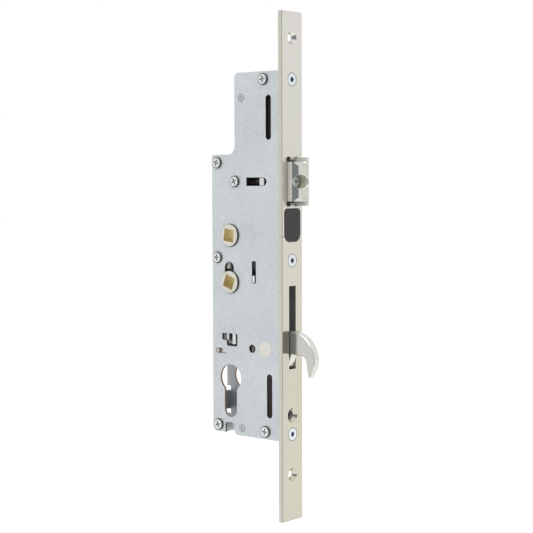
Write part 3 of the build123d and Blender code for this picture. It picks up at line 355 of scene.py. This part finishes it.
def drawn_plated_strip():
    """Champagne-plated drawn steel strip: nearly a mirror, with fine streaks along its length."""
    s = settings("plating")
    material, tree = new_material("drawn_plated_strip")
    place = node(tree, "ShaderNodeTexCoord").outputs["Object"]
    # The real drawing lines are too fine to show, so the streaks are drawn coarser
    stretched = node(tree, "ShaderNodeMapping", {"Vector": place, "Scale": (1.0, 1.0, 0.02)})
    streak = node(tree, "ShaderNodeTexNoise",
                  {"Vector": stretched.outputs[0], "Scale": 1 / s.streak, "Detail": 4.0, "Roughness": 0.65})
    band = node(tree, "ShaderNodeTexNoise",
                {"Vector": stretched.outputs[0], "Scale": 1 / s.streak_band, "Detail": 2.0})
    both = node(tree, "ShaderNodeMath", {0: streak.outputs["Fac"], 1: band.outputs["Fac"]},
                operation="ADD")
    amount = node(tree, "ShaderNodeMapRange", {"Value": both.outputs[0], "From Min": 0.6, "From Max": 1.4})
    drawn = node(tree, "ShaderNodeMix",
                 {"Factor": amount.outputs[0], FIRST: s.faceplate_dark, SECOND: s.faceplate},
                 data_type="RGBA")
    # Towards its upper end the plating is greyer, with faint pink and green clouds in its chromate film
    parts = node(tree, "ShaderNodeSeparateXYZ", {0: place})
    greyness = node(tree, "ShaderNodeMapRange",
                    {"Value": parts.outputs["Z"], "From Min": 0.0, "From Max": s.plating_change})
    graded = node(tree, "ShaderNodeMix",
                  {"Factor": greyness.outputs[0], FIRST: drawn.outputs[MIXED], SECOND: s.faceplate_top},
                  data_type="RGBA")
    film = node(tree, "ShaderNodeTexNoise", {"Vector": place, "Scale": 1 / s.cloud, "Detail": 1.0})
    greenness = node(tree, "ShaderNodeMapRange",
                     {"Value": film.outputs["Fac"], "From Min": 0.4, "From Max": 0.6})
    tints = node(tree, "ShaderNodeMix",
                 {"Factor": greenness.outputs[0], FIRST: s.tint_pink, SECOND: s.tint_green},
                 data_type="RGBA")
    clouded = node(tree, "ShaderNodeMapRange",
                   {"Value": parts.outputs["Z"], "From Min": s.film_from, "From Max": s.plating_change,
                    "To Min": 0.0, "To Max": s.film_depth})
    front = node(tree, "ShaderNodeMix",
                 {"Factor": clouded.outputs[0], FIRST: graded.outputs[MIXED], SECOND: tints.outputs[MIXED]},
                 data_type="RGBA")
    # The narrow sides face along Y, and the broken edges lie half way between them and the front
    facing = node(tree, "ShaderNodeNewGeometry").outputs["Normal"]
    across = node(tree, "ShaderNodeSeparateXYZ", {0: facing}).outputs["Y"]
    flat = node(tree, "ShaderNodeMath", {0: across}, operation="ABSOLUTE")
    side = node(tree, "ShaderNodeMath", {0: flat.outputs[0], 1: FLAT_SIDE_NORMAL},
                operation="GREATER_THAN")
    slanted = node(tree, "ShaderNodeMath",
                   {0: flat.outputs[0], 1: BROKEN_EDGE_NORMAL, 2: BROKEN_EDGE_SPREAD}, operation="COMPARE")
    breadth = node(tree, "ShaderNodeMath", {0: parts.outputs["Y"]}, operation="ABSOLUTE")
    margin = node(tree, "ShaderNodeMath", {0: breadth.outputs[0], 1: FACEPLATE_EDGE_FROM_Y * MM},
                  operation="GREATER_THAN")
    broken = node(tree, "ShaderNodeMath", {0: slanted.outputs[0], 1: margin.outputs[0]},
                  operation="MULTIPLY")
    faces = node(tree, "ShaderNodeMix",
                 {"Factor": side.outputs[0], FIRST: front.outputs[MIXED], SECOND: s.faceplate_side},
                 data_type="RGBA")
    # Painted highlight: the broken edges get a flat, hardly metallic colour that stands in for the light
    # line along them
    colours = node(tree, "ShaderNodeMix",
                   {"Factor": broken.outputs[0], FIRST: faces.outputs[MIXED], SECOND: s.faceplate_edge_highlight},
                   data_type="RGBA")
    gloss = node(tree, "ShaderNodeMapRange",
                 {"Value": streak.outputs["Fac"], **NOISE_SPAN, "To Min": 0.09, "To Max": 0.14})
    rough = node(tree, "ShaderNodeMath", {0: side.outputs[0], 1: DULL_EXTRA, 2: gloss.outputs[0]},
                 operation="MULTIPLY_ADD")
    bump = node(tree, "ShaderNodeBump",
                {"Height": streak.outputs["Fac"], "Strength": 0.04, "Distance": 0.02 * MM})
    metal = node(tree, "ShaderNodeMapRange", {"Value": broken.outputs[0], "To Min": 0.9, "To Max": 0.1})
    shader = node(tree, "ShaderNodeBsdfPrincipled",
                  {"Base Color": colours.outputs[MIXED], "Metallic": metal.outputs[0],
                   "Roughness": rough.outputs[0], "Normal": bump.outputs[0]})
    node(tree, "ShaderNodeOutputMaterial", {"Surface": shader.outputs[0]})
    return material


def smooth_metal(name, tint, roughness, metallic, grain, depth, spread):
    """A metal with a cast or drawn grain: its tint varies a little, and its gloss with it."""
    material, tree = new_material(name)
    place = node(tree, "ShaderNodeTexCoord").outputs["Object"]
    noise = node(tree, "ShaderNodeTexNoise", {"Vector": place, "Scale": 1 / grain, "Detail": 3.0})
    amount = node(tree, "ShaderNodeMapRange",
                  {"Value": noise.outputs["Fac"], **NOISE_SPAN, "To Min": 1 - spread, "To Max": 1.0})
    toned = node(tree, "ShaderNodeMix", {"Factor": 1.0, FIRST: tint, SECOND: amount.outputs[0]},
                 data_type="RGBA", blend_type="MULTIPLY")
    rough = node(tree, "ShaderNodeMapRange",
                 {"Value": noise.outputs["Fac"], **NOISE_SPAN, "To Min": roughness,
                  "To Max": roughness + ROUGHNESS_SPREAD})
    bump = node(tree, "ShaderNodeBump",
                {"Height": noise.outputs["Fac"], "Strength": 0.15, "Distance": depth})
    shader = node(tree, "ShaderNodeBsdfPrincipled",
                  {"Base Color": toned.outputs[MIXED], "Metallic": metallic, "Roughness": rough.outputs[0],
                   "Normal": bump.outputs[0]})
    node(tree, "ShaderNodeOutputMaterial", {"Surface": shader.outputs[0]})
    return material


def nearest(tree, place, flatten, centres):
    """The distance to the nearest of some centres, across the axis that is flattened."""
    flat = node(tree, "ShaderNodeVectorMath", {0: place, 1: flatten}, operation="MULTIPLY").outputs[0]
    least = None
    for centre in centres:
        away = node(tree, "ShaderNodeVectorMath", {0: flat, 1: centre}, operation="DISTANCE")
        away = away.outputs["Value"]
        if least is None:
            least = away
        else:
            least = node(tree, "ShaderNodeMath", {0: least, 1: away}, operation="MINIMUM").outputs[0]
    return least


def recessed_metal(name, face, deep, rim, head, centres, roughness):
    """Barrel-plated zinc on turned steel: bright face, dull recess and rim in given colours; on zinc heads,
    painted shade.
    """
    material, tree = new_material(name)
    place = node(tree, "ShaderNodeTexCoord").outputs["Object"]
    noise = node(tree, "ShaderNodeTexNoise", {"Vector": place, "Scale": 1 / (0.7 * MM), "Detail": 3.0})
    parts = node(tree, "ShaderNodeSeparateXYZ", {0: place})
    depth = node(tree, "ShaderNodeMapRange",
                 {"Value": parts.outputs[head["axis"]], "From Min": head["face"] * MM,
                  "From Max": head["deep"] * MM})
    # Painted shade on the zinc heads: the colour darkens from the face down into the recess
    tones = node(tree, "ShaderNodeMix", {"Factor": depth.outputs[0], FIRST: face, SECOND: deep},
                 data_type="RGBA")
    flatten = (0, 1, 1) if head["axis"] == "X" else (1, 0, 1)
    radius = nearest(tree, place, flatten, centres)
    # Painted shade on the zinc heads: beyond the rim's radius the head is painted in the dark rim colour
    out = node(tree, "ShaderNodeMath", {0: radius, 1: head["rim"] * MM}, operation="GREATER_THAN")
    ringed = node(tree, "ShaderNodeMix",
                  {"Factor": out.outputs[0], FIRST: tones.outputs[MIXED], SECOND: rim}, data_type="RGBA")
    amount = node(tree, "ShaderNodeMapRange",
                  {"Value": noise.outputs["Fac"], **NOISE_SPAN, "To Min": 0.9, "To Max": 1.0})
    toned = node(tree, "ShaderNodeMix",
                 {"Factor": 1.0, FIRST: ringed.outputs[MIXED], SECOND: amount.outputs[0]},
                 data_type="RGBA", blend_type="MULTIPLY")
    rough = node(tree, "ShaderNodeMapRange",
                 {"Value": noise.outputs["Fac"], **NOISE_SPAN, "To Min": roughness,
                  "To Max": roughness + ROUGHNESS_SPREAD})
    dull = node(tree, "ShaderNodeMath", {0: depth.outputs[0], 1: out.outputs[0]}, operation="MAXIMUM")
    metal = node(tree, "ShaderNodeMapRange", {"Value": dull.outputs[0], "To Min": 0.85, "To Max": 0.25})
    shader = node(tree, "ShaderNodeBsdfPrincipled",
                  {"Base Color": toned.outputs[MIXED], "Metallic": metal.outputs[0],
                   "Roughness": rough.outputs[0]})
    node(tree, "ShaderNodeOutputMaterial", {"Surface": shader.outputs[0]})
    return material


def nickel_plated_casting():
    """Nickel on cast zinc: glossy slopes, a duller near side, an olive counterbore with a painted highlight
    ring.
    """
    s = settings("plating")
    material, tree = new_material("nickel_plated_casting")
    place = node(tree, "ShaderNodeTexCoord").outputs["Object"]
    noise = node(tree, "ShaderNodeTexNoise", {"Vector": place, "Scale": 1 / (0.5 * MM), "Detail": 3.0})
    facing = node(tree, "ShaderNodeNewGeometry").outputs["Normal"]
    across = node(tree, "ShaderNodeSeparateXYZ", {0: facing}).outputs["Y"]
    near = node(tree, "ShaderNodeMath", {0: across, 1: -LATCH_SIDE_NORMAL}, operation="LESS_THAN")
    radius = nearest(tree, place, (0, 1, 1), [(0, 0, LATCH_Z * MM)])
    bore = node(tree, "ShaderNodeMath", {0: radius, 1: LATCH_BORE_RADIUS * MM}, operation="LESS_THAN")
    # Painted highlight: a thin ring round the counterbore is painted near white
    ring = node(tree, "ShaderNodeMath",
                {0: radius, 1: LATCH_HIGHLIGHT_RING_RADIUS * MM, 2: LATCH_HIGHLIGHT_RING_HALF_WIDTH * MM}, operation="COMPARE")
    depth = node(tree, "ShaderNodeSeparateXYZ", {0: place}).outputs["X"]
    open_end = node(tree, "ShaderNodeMath", {0: depth, 1: LATCH_BORE_FROM_X * MM},
                    operation="GREATER_THAN")
    wall = node(tree, "ShaderNodeMath", {0: bore.outputs[0], 1: open_end.outputs[0]},
                operation="MULTIPLY")
    bored = node(tree, "ShaderNodeMix", {"Factor": wall.outputs[0], FIRST: s.latch, SECOND: s.latch_bore},
                 data_type="RGBA")
    ringed = node(tree, "ShaderNodeMix",
                  {"Factor": ring.outputs[0], FIRST: bored.outputs[MIXED], SECOND: s.latch_rim_highlight},
                  data_type="RGBA")
    amount = node(tree, "ShaderNodeMapRange",
                  {"Value": noise.outputs["Fac"], **NOISE_SPAN, "To Min": 0.9, "To Max": 1.0})
    toned = node(tree, "ShaderNodeMix",
                 {"Factor": 1.0, FIRST: ringed.outputs[MIXED], SECOND: amount.outputs[0]},
                 data_type="RGBA", blend_type="MULTIPLY")
    gloss = node(tree, "ShaderNodeMapRange",
                 {"Value": noise.outputs["Fac"], **NOISE_SPAN, "To Min": 0.1, "To Max": 0.2})
    dull = node(tree, "ShaderNodeMath", {0: near.outputs[0], 1: wall.outputs[0]}, operation="MAXIMUM")
    rough = node(tree, "ShaderNodeMath", {0: dull.outputs[0], 1: DULL_EXTRA, 2: gloss.outputs[0]},
                 operation="MULTIPLY_ADD")
    metal = node(tree, "ShaderNodeMapRange", {"Value": dull.outputs[0], "To Min": 0.95, "To Max": 0.35})
    bump = node(tree, "ShaderNodeBump",
                {"Height": noise.outputs["Fac"], "Strength": 0.3, "Distance": 0.05 * MM})
    shader = node(tree, "ShaderNodeBsdfPrincipled",
                  {"Base Color": toned.outputs[MIXED], "Metallic": metal.outputs[0],
                   "Roughness": rough.outputs[0], "Normal": bump.outputs[0]})
    node(tree, "ShaderNodeOutputMaterial", {"Surface": shader.outputs[0]})
    return material


def satin_nickel():
    """Satin nickel on the hook: a greyer side face, and a glossier edge all round painted brighter as a
    highlight.
    """
    s = settings("plating")
    material, tree = new_material("satin_nickel")
    place = node(tree, "ShaderNodeTexCoord").outputs["Object"]
    noise = node(tree, "ShaderNodeTexNoise", {"Vector": place, "Scale": 1 / (0.9 * MM), "Detail": 3.0})
    facing = node(tree, "ShaderNodeNewGeometry").outputs["Normal"]
    across = node(tree, "ShaderNodeSeparateXYZ", {0: facing}).outputs["Y"]
    flat = node(tree, "ShaderNodeMath", {0: across}, operation="ABSOLUTE")
    side = node(tree, "ShaderNodeMath", {0: flat.outputs[0], 1: HOOK_SIDE_NORMAL},
                operation="GREATER_THAN")
    # Painted highlight: every face but the two sides is painted the brighter edge colour
    tones = node(tree, "ShaderNodeMix", {"Factor": side.outputs[0], FIRST: s.hook_edge_highlight, SECOND: s.hook},
                 data_type="RGBA")
    amount = node(tree, "ShaderNodeMapRange",
                  {"Value": noise.outputs["Fac"], **NOISE_SPAN, "To Min": 0.93, "To Max": 1.0})
    toned = node(tree, "ShaderNodeMix",
                 {"Factor": 1.0, FIRST: tones.outputs[MIXED], SECOND: amount.outputs[0]},
                 data_type="RGBA", blend_type="MULTIPLY")
    rough = node(tree, "ShaderNodeMapRange", {"Value": side.outputs[0], "To Min": 0.13, "To Max": 0.2})
    shader = node(tree, "ShaderNodeBsdfPrincipled",
                  {"Base Color": toned.outputs[MIXED], "Metallic": 0.9, "Roughness": rough.outputs[0]})
    node(tree, "ShaderNodeOutputMaterial", {"Surface": shader.outputs[0]})
    return material


def passivated_casting(name, centre_z):
    """Passivated zinc casting: cream faces, painted shade on the ring's side, a broached olive square hole
    painted light.
    """
    s = settings("castings")
    material, tree = new_material(name)
    place = node(tree, "ShaderNodeTexCoord").outputs["Object"]
    noise = node(tree, "ShaderNodeTexNoise", {"Vector": place, "Scale": 1 / (0.8 * MM), "Detail": 3.0})
    # The broach scores the square hole along Y
    scored = node(tree, "ShaderNodeMapping", {"Vector": place, "Scale": (1.0, 0.05, 1.0)})
    strokes = node(tree, "ShaderNodeTexNoise", {"Vector": scored.outputs[0], "Scale": 1 / (0.5 * MM)})
    radius = nearest(tree, place, (1, 0, 1), [(0, 0, centre_z)])
    inside = node(tree, "ShaderNodeMath", {0: radius, 1: SQUARE_HOLE_RADIUS * MM}, operation="LESS_THAN")
    parts = node(tree, "ShaderNodeSeparateXYZ", {0: place})
    depth = node(tree, "ShaderNodeMath", {0: parts.outputs["Y"]}, operation="ABSOLUTE")
    below = node(tree, "ShaderNodeMath", {0: depth.outputs[0], 1: SQUARE_HOLE_TO_Y * MM},
                 operation="LESS_THAN")
    wall = node(tree, "ShaderNodeMath", {0: inside.outputs[0], 1: below.outputs[0]}, operation="MULTIPLY")
    face = node(tree, "ShaderNodeMapRange",
                {"Value": noise.outputs["Fac"], **NOISE_SPAN, "To Min": 0.92, "To Max": 1.0})
    stroke = node(tree, "ShaderNodeMapRange",
                  {"Value": strokes.outputs["Fac"], **NOISE_SPAN, "To Min": 0.8, "To Max": 1.05})
    cast = node(tree, "ShaderNodeMix", {"Factor": 1.0, FIRST: s.follower, SECOND: face.outputs[0]},
                data_type="RGBA", blend_type="MULTIPLY")
    # Painted light: the broached wall is painted much lighter than the faces, standing in for light inside
    # the hole
    broached = node(tree, "ShaderNodeMix", {"Factor": 1.0, FIRST: s.square, SECOND: stroke.outputs[0]},
                    data_type="RGBA", blend_type="MULTIPLY")
    # Painted shade: beyond this radius the ring's side is painted dark
    beyond = node(tree, "ShaderNodeMath", {0: radius, 1: FOLLOWER_SHADED_SIDE_RADIUS * MM},
                  operation="GREATER_THAN")
    with_side_shade = node(tree, "ShaderNodeMix",
                 {"Factor": beyond.outputs[0], FIRST: cast.outputs[MIXED], SECOND: s.follower_side_shade},
                 data_type="RGBA")
    colours = node(tree, "ShaderNodeMix",
                   {"Factor": wall.outputs[0], FIRST: with_side_shade.outputs[MIXED], SECOND: broached.outputs[MIXED]},
                   data_type="RGBA")
    metal = node(tree, "ShaderNodeMapRange", {"Value": wall.outputs[0], "To Min": 0.3, "To Max": 0.9})
    bump = node(tree, "ShaderNodeBump",
                {"Height": noise.outputs["Fac"], "Strength": 0.15, "Distance": 0.05 * MM})
    shader = node(tree, "ShaderNodeBsdfPrincipled",
                  {"Base Color": colours.outputs[MIXED], "Metallic": metal.outputs[0], "Roughness": 0.35,
                   "Normal": bump.outputs[0]})
    node(tree, "ShaderNodeOutputMaterial", {"Surface": shader.outputs[0]})
    return material


def moulded_plastic(name, tint, roughness):
    """Injection-moulded polyamide: an even colour, with a fine spark-eroded skin."""
    material, tree = new_material(name)
    place = node(tree, "ShaderNodeTexCoord").outputs["Object"]
    skin = node(tree, "ShaderNodeTexNoise", {"Vector": place, "Scale": 1 / (0.25 * MM), "Detail": 2.0})
    amount = node(tree, "ShaderNodeMapRange",
                  {"Value": skin.outputs["Fac"], **NOISE_SPAN, "To Min": 0.85, "To Max": 1.05})
    colours = node(tree, "ShaderNodeMix", {"Factor": 1.0, FIRST: tint, SECOND: amount.outputs[0]},
                   data_type="RGBA", blend_type="MULTIPLY")
    bump = node(tree, "ShaderNodeBump",
                {"Height": skin.outputs["Fac"], "Strength": 0.25, "Distance": 0.03 * MM})
    shader = node(tree, "ShaderNodeBsdfPrincipled",
                  {"Base Color": colours.outputs[MIXED], "Metallic": 0.0, "Roughness": roughness,
                   "IOR": 1.53, "Normal": bump.outputs[0]})
    node(tree, "ShaderNodeOutputMaterial", {"Surface": shader.outputs[0]})
    return material


def on_case(middles):
    """Middles on the case, in millimetres along X and Z, as points in metres."""
    return [(x * MM, 0, z * MM) for x, z in middles]


def on_faceplate(middles):
    """Middles on the faceplate, in millimetres along Z, as points in metres."""
    return [(0, 0, z * MM) for z in middles]


class LOCK_OT_case(bpy.types.Operator):
    """Plates the two case sides and their rivets, and finishes the cover's plug"""
    bl_idname = "lock.case"
    bl_label = "Case"

    def execute(self, context):
        s = settings("plating")
        dress(zinc_plated_sheet(), "case_cover", "case_base", "case_flange", "case_tabs")
        dress(recessed_metal("rivet_zinc", s.sheet, s.sheet_inside_shade, s.rivet_rim_shade, RIVET_HEAD,
                             on_case(RIVETS), roughness=0.35), "dowel_rivets")
        dress(moulded_plastic("plug_plastic", settings("castings").plug, roughness=0.4), "cover_plug")
        return {"FINISHED"}


class LOCK_OT_faceplates(bpy.types.Operator):
    """Finishes the two lengths of faceplate"""
    bl_idname = "lock.faceplates"
    bl_label = "Faceplates"

    def execute(self, context):
        dress(drawn_plated_strip(), "faceplate_upper", "faceplate_lower")
        return {"FINISHED"}


class LOCK_OT_screws(bpy.types.Operator):
    """Finishes the screws and the hook's pin"""
    bl_idname = "lock.screws"
    bl_label = "Screws"

    def execute(self, context):
        s = settings("plating")
        dress(recessed_metal("cover_screw_zinc", s.screw, s.screw_recess_shade, s.screw_rim_shade, COVER_SCREW_HEAD,
                             on_case(COVER_SCREWS), roughness=0.2), "cover_screws")
        dress(recessed_metal("faceplate_screw_zinc", s.star, s.star_recess_shade, s.screw_rim_shade,
                             FACEPLATE_SCREW_HEAD, on_faceplate(FACEPLATE_SCREWS), roughness=0.2),
              "faceplate_screws")
        dress(recessed_metal("latch_screw_zinc", s.star, s.screw_recess_shade, s.screw_rim_shade, LATCH_SCREW_HEAD,
                             on_faceplate([LATCH_Z]), roughness=0.2), "latch_screw")
        dress(recessed_metal("slotted_pin_steel", s.pin_end, s.pin_slot, s.pin_end, HOOK_PIN_HEAD,
                             on_case([HOOK_PIN]), roughness=0.3), "hook_pivot_pin")
        return {"FINISHED"}


class LOCK_OT_bolts(bpy.types.Operator):
    """Finishes the hook and the latch"""
    bl_idname = "lock.bolts"
    bl_label = "Hook and latch"

    def execute(self, context):
        dress(satin_nickel(), "hook")
        dress(nickel_plated_casting(), "latch_head")
        return {"FINISHED"}


class LOCK_OT_insides(bpy.types.Operator):
    """Finishes the slides, the lever, the posts and the springs inside the case"""
    bl_idname = "lock.insides"
    bl_label = "Inside pieces"

    def execute(self, context):
        s = settings("plating")
        dress(smooth_metal("galvanised_sheet", s.slide, roughness=0.3, metallic=0.7, grain=1.5 * MM,
                           depth=0.04 * MM, spread=0.12),
              "lock_slide", "blocking_slide", "latch_lever", "latch_rod")
        dress(smooth_metal("turned_steel", s.post, roughness=0.35, metallic=0.8, grain=0.6 * MM,
                           depth=0.03 * MM, spread=0.1),
              "cover_posts", "screw_blocks", "lever_pivot_pin", "drive_pin", "drive_guide_studs",
              "slide_stud", "slide_peg", "slide_pin", "plunger_guide", "spring_plate")
        dress(smooth_metal("phosphated_steel", s.dark, roughness=0.45, metallic=0.3, grain=0.7 * MM,
                           depth=0.05 * MM, spread=0.2), "drive_slide")
        dress(smooth_metal("plunger_steel", s.plunger, roughness=0.3, metallic=0.6, grain=0.7 * MM,
                           depth=0.03 * MM, spread=0.12), "follower_plunger")
        dress(smooth_metal("drawn_wire", s.wire, roughness=0.35, metallic=0.5, grain=0.4 * MM,
                           depth=0.02 * MM, spread=0.2), "latch_spring", "plunger_spring")
        dress(moulded_plastic("guide_plastic", settings("castings").guide, roughness=0.5), "bar_guide")
        return {"FINISHED"}


def merged_copy(name):
    """A copy of a CAD node's mesh with its loose triangles merged, and its own normals left out."""
    mesh = NODES[name].data.copy()
    shape = bmesh.new()
    shape.from_mesh(mesh)
    bmesh.ops.remove_doubles(shape, verts=shape.verts, dist=SAME_POINT * MM)
    for edge in shape.edges:
        edge.smooth = edge.calc_face_angle(0) < SHARP_ANGLE
    shape.to_mesh(mesh)
    shape.free()
    mesh.attributes.remove(mesh.attributes["custom_normal"])
    return mesh


def pressed_spring(name):
    """A merged copy of a spring's CAD node, attached to the case in its place."""
    piece = bpy.data.objects.new(name + "_coil", merged_copy(name))
    bpy.context.scene.collection.objects.link(piece)
    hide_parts(name)
    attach(piece, "case")
    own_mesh(piece)


class LOCK_OT_springs(bpy.types.Operator):
    """Puts merged copies of the two springs in place of their CAD nodes"""
    bl_idname = "lock.springs"
    bl_label = "Springs"

    def execute(self, context):
        s = settings("travel")
        pressed_spring("latch_spring")
        pressed_spring("plunger_spring")
        return {"FINISHED"}


class LOCK_OT_castings(bpy.types.Operator):
    """Finishes the followers and the plastic insert"""
    bl_idname = "lock.castings"
    bl_label = "Followers and insert"

    def execute(self, context):
        dress(passivated_casting("upper_passivated_zinc", UPPER_SPINDLE_Z * MM), "upper_follower")
        dress(passivated_casting("lower_passivated_zinc", LOWER_SPINDLE_Z * MM), "lower_follower")
        dress(moulded_plastic("insert_plastic", settings("castings").plastic, roughness=0.55),
              "joint_insert")
        return {"FINISHED"}


def stage_plane(name, corners, material):
    """A single face through four corners, which belongs to the stage."""
    mesh = bpy.data.meshes.new(name)
    shape = bmesh.new()
    shape.faces.new([shape.verts.new(c) for c in corners])
    shape.to_mesh(mesh)
    shape.free()
    mesh.materials.append(material)
    made = bpy.data.objects.new(name, mesh)
    bpy.context.scene.collection.objects.link(made)
    return made


def seen_ray(tree):
    """One for rays that come from the camera, a reflection or a clear surface, else nought."""
    path = node(tree, "ShaderNodeLightPath")
    seen = node(tree, "ShaderNodeMath",
                {0: path.outputs["Is Camera Ray"], 1: path.outputs["Is Glossy Ray"]}, operation="MAXIMUM")
    return node(tree, "ShaderNodeMath", {0: seen.outputs[0], 1: path.outputs["Is Transmission Ray"]},
                operation="MAXIMUM").outputs[0]


def aimed(place, target):
    """The matrix of a camera or lamp that stands at a place and looks at a target."""
    turn = (Vector(target) - Vector(place)).to_track_quat("-Z", "Y").to_matrix().to_4x4()
    return Matrix.Translation(place) @ turn


def make_camera(s):
    """The camera, at the photograph's viewing angle."""
    lens = bpy.data.cameras.new("camera")
    lens.lens = s.focal
    lens.sensor_width = s.sensor
    camera = bpy.data.objects.new("camera", lens)
    bpy.context.scene.collection.objects.link(camera)
    camera.matrix_world = aimed(s.camera, s.target) @ Matrix.Rotation(s.roll, 4, "Z")
    bpy.context.scene.camera = camera


def make_floor(s, low):
    """A painted floor: where it is seen it gives some of its own light, and it keeps the lock's shadow."""
    material, tree = new_material("pale_floor")
    paint = node(tree, "ShaderNodeBsdfDiffuse", {"Color": s.floor})
    faint = node(tree, "ShaderNodeBsdfDiffuse", {"Color": [s.floor_shade] * 3 + [1.0]})
    white = node(tree, "ShaderNodeEmission", {"Color": (1, 1, 1, 1), "Strength": s.floor_glow})
    lit = node(tree, "ShaderNodeAddShader", {0: faint.outputs[0], 1: white.outputs[0]})
    both = node(tree, "ShaderNodeMixShader", {0: seen_ray(tree), 1: paint.outputs[0], 2: lit.outputs[0]})
    node(tree, "ShaderNodeOutputMaterial", {"Surface": both.outputs[0]})
    far = s.floor_reach
    stage_plane("floor", [(-far, -far, low), (far, -far, low), (far, far, low), (-far, far, low)], material)


def make_world(s):
    """Even light from all round, which is plain white where it is seen."""
    world = bpy.data.worlds.new("studio")
    bpy.context.scene.world = world
    world.use_nodes = True
    tree = world.node_tree
    tree.nodes.clear()
    strength = node(tree, "ShaderNodeMapRange",
                    {"Value": seen_ray(tree), "To Min": s.ambient, "To Max": 1.0})
    light = node(tree, "ShaderNodeBackground", {"Color": (1, 1, 1, 1), "Strength": strength.outputs[0]})
    node(tree, "ShaderNodeOutputWorld", {"Surface": light.outputs[0]})


def make_key_lamp(s):
    """One broad soft lamp, above the lock on the camera's side."""
    lamp = bpy.data.lights.new("key", "AREA")
    lamp.energy = s.key
    lamp.size = s.key_size
    key = bpy.data.objects.new("key", lamp)
    bpy.context.scene.collection.objects.link(key)
    key.matrix_world = aimed(s.key_place, s.target)


def make_dark_card(s, low):
    """A dark card that stands behind the camera and runs on along the floor, and shows only in gloss."""
    material, tree = new_material("card_grey")
    glow = node(tree, "ShaderNodeEmission", {"Color": s.card, "Strength": 1.0})
    node(tree, "ShaderNodeOutputMaterial", {"Surface": glow.outputs[0]})
    away = (Vector(s.camera) - Vector(s.target)).normalized()
    level = Vector((away.x, away.y, 0)).normalized()
    across = away.cross(Vector((0, 0, 1))).normalized() * s.card_width / 2
    middle = Vector(s.target) + away * s.card_distance
    rise = Vector((0, 0, s.card_height / 2))
    # The part on the floor lies a millimetre above it
    on_floor = Vector((0, 0, low + MM))
    start = on_floor + level * s.card_start
    end = on_floor + level * s.card_distance
    for name, foot, head in (("dark_card", middle - rise, middle + rise), ("card_on_floor", start, end)):
        card = stage_plane(name, [foot - across, foot + across, head + across, head - across], material)
        card.visible_camera = False
        card.visible_diffuse = False
        card.visible_transmission = False
        card.visible_volume_scatter = False
        card.visible_shadow = False


class LOCK_OT_studio(bpy.types.Operator):
    """Sets up the camera, the floor, the world, the lamp and the dark card"""
    bl_idname = "lock.studio"
    bl_label = "Studio"

    def execute(self, context):
        s = settings("studio")
        low = CAD_BOX[0][2]
        context.scene.view_settings.view_transform = "Standard"
        make_camera(s)
        make_floor(s, low)
        make_world(s)
        make_key_lamp(s)
        make_dark_card(s, low)
        return {"FINISHED"}


class LOCK_PT_panel(bpy.types.Panel):
    """Lists the lock's pieces, its studio and their settings"""
    bl_idname = "LOCK_PT_panel"
    bl_label = "Multipoint lock"
    bl_space_type = "VIEW_3D"
    bl_region_type = "UI"
    bl_category = "Lock"

    def draw(self, context):
        for operator in OPERATORS:
            self.layout.operator(operator.bl_idname)
        for name in GROUPS:
            group = getattr(context.scene, name)
            for key in group.bl_rna.properties.keys():
                if key not in ("rna_type", "name"):
                    self.layout.prop(group, key)


GROUPS = {"plating": PlatingSettings, "castings": CastSettings, "travel": TravelSettings,
          "studio": StudioSettings}
OPERATORS = [LOCK_OT_case, LOCK_OT_faceplates, LOCK_OT_screws, LOCK_OT_bolts, LOCK_OT_insides,
             LOCK_OT_springs, LOCK_OT_castings, LOCK_OT_studio]


def register():
    for group in GROUPS.values():
        bpy.utils.register_class(group)
    for name, group in GROUPS.items():
        setattr(bpy.types.Scene, name, bpy.props.PointerProperty(type=group))
    for operator in OPERATORS:
        bpy.utils.register_class(operator)
    bpy.utils.register_class(LOCK_PT_panel)


def unregister():
    bpy.utils.unregister_class(LOCK_PT_panel)
    for operator in reversed(OPERATORS):
        bpy.utils.unregister_class(operator)
    for name in GROUPS:
        delattr(bpy.types.Scene, name)
    for group in reversed(list(GROUPS.values())):
        bpy.utils.unregister_class(group)


def main():
    """Makes everything in order."""
    register()
    for operator in OPERATORS:
        group, name = operator.bl_idname.split(".")
        getattr(getattr(bpy.ops, group), name)()


if __name__ == "__main__":
    main()
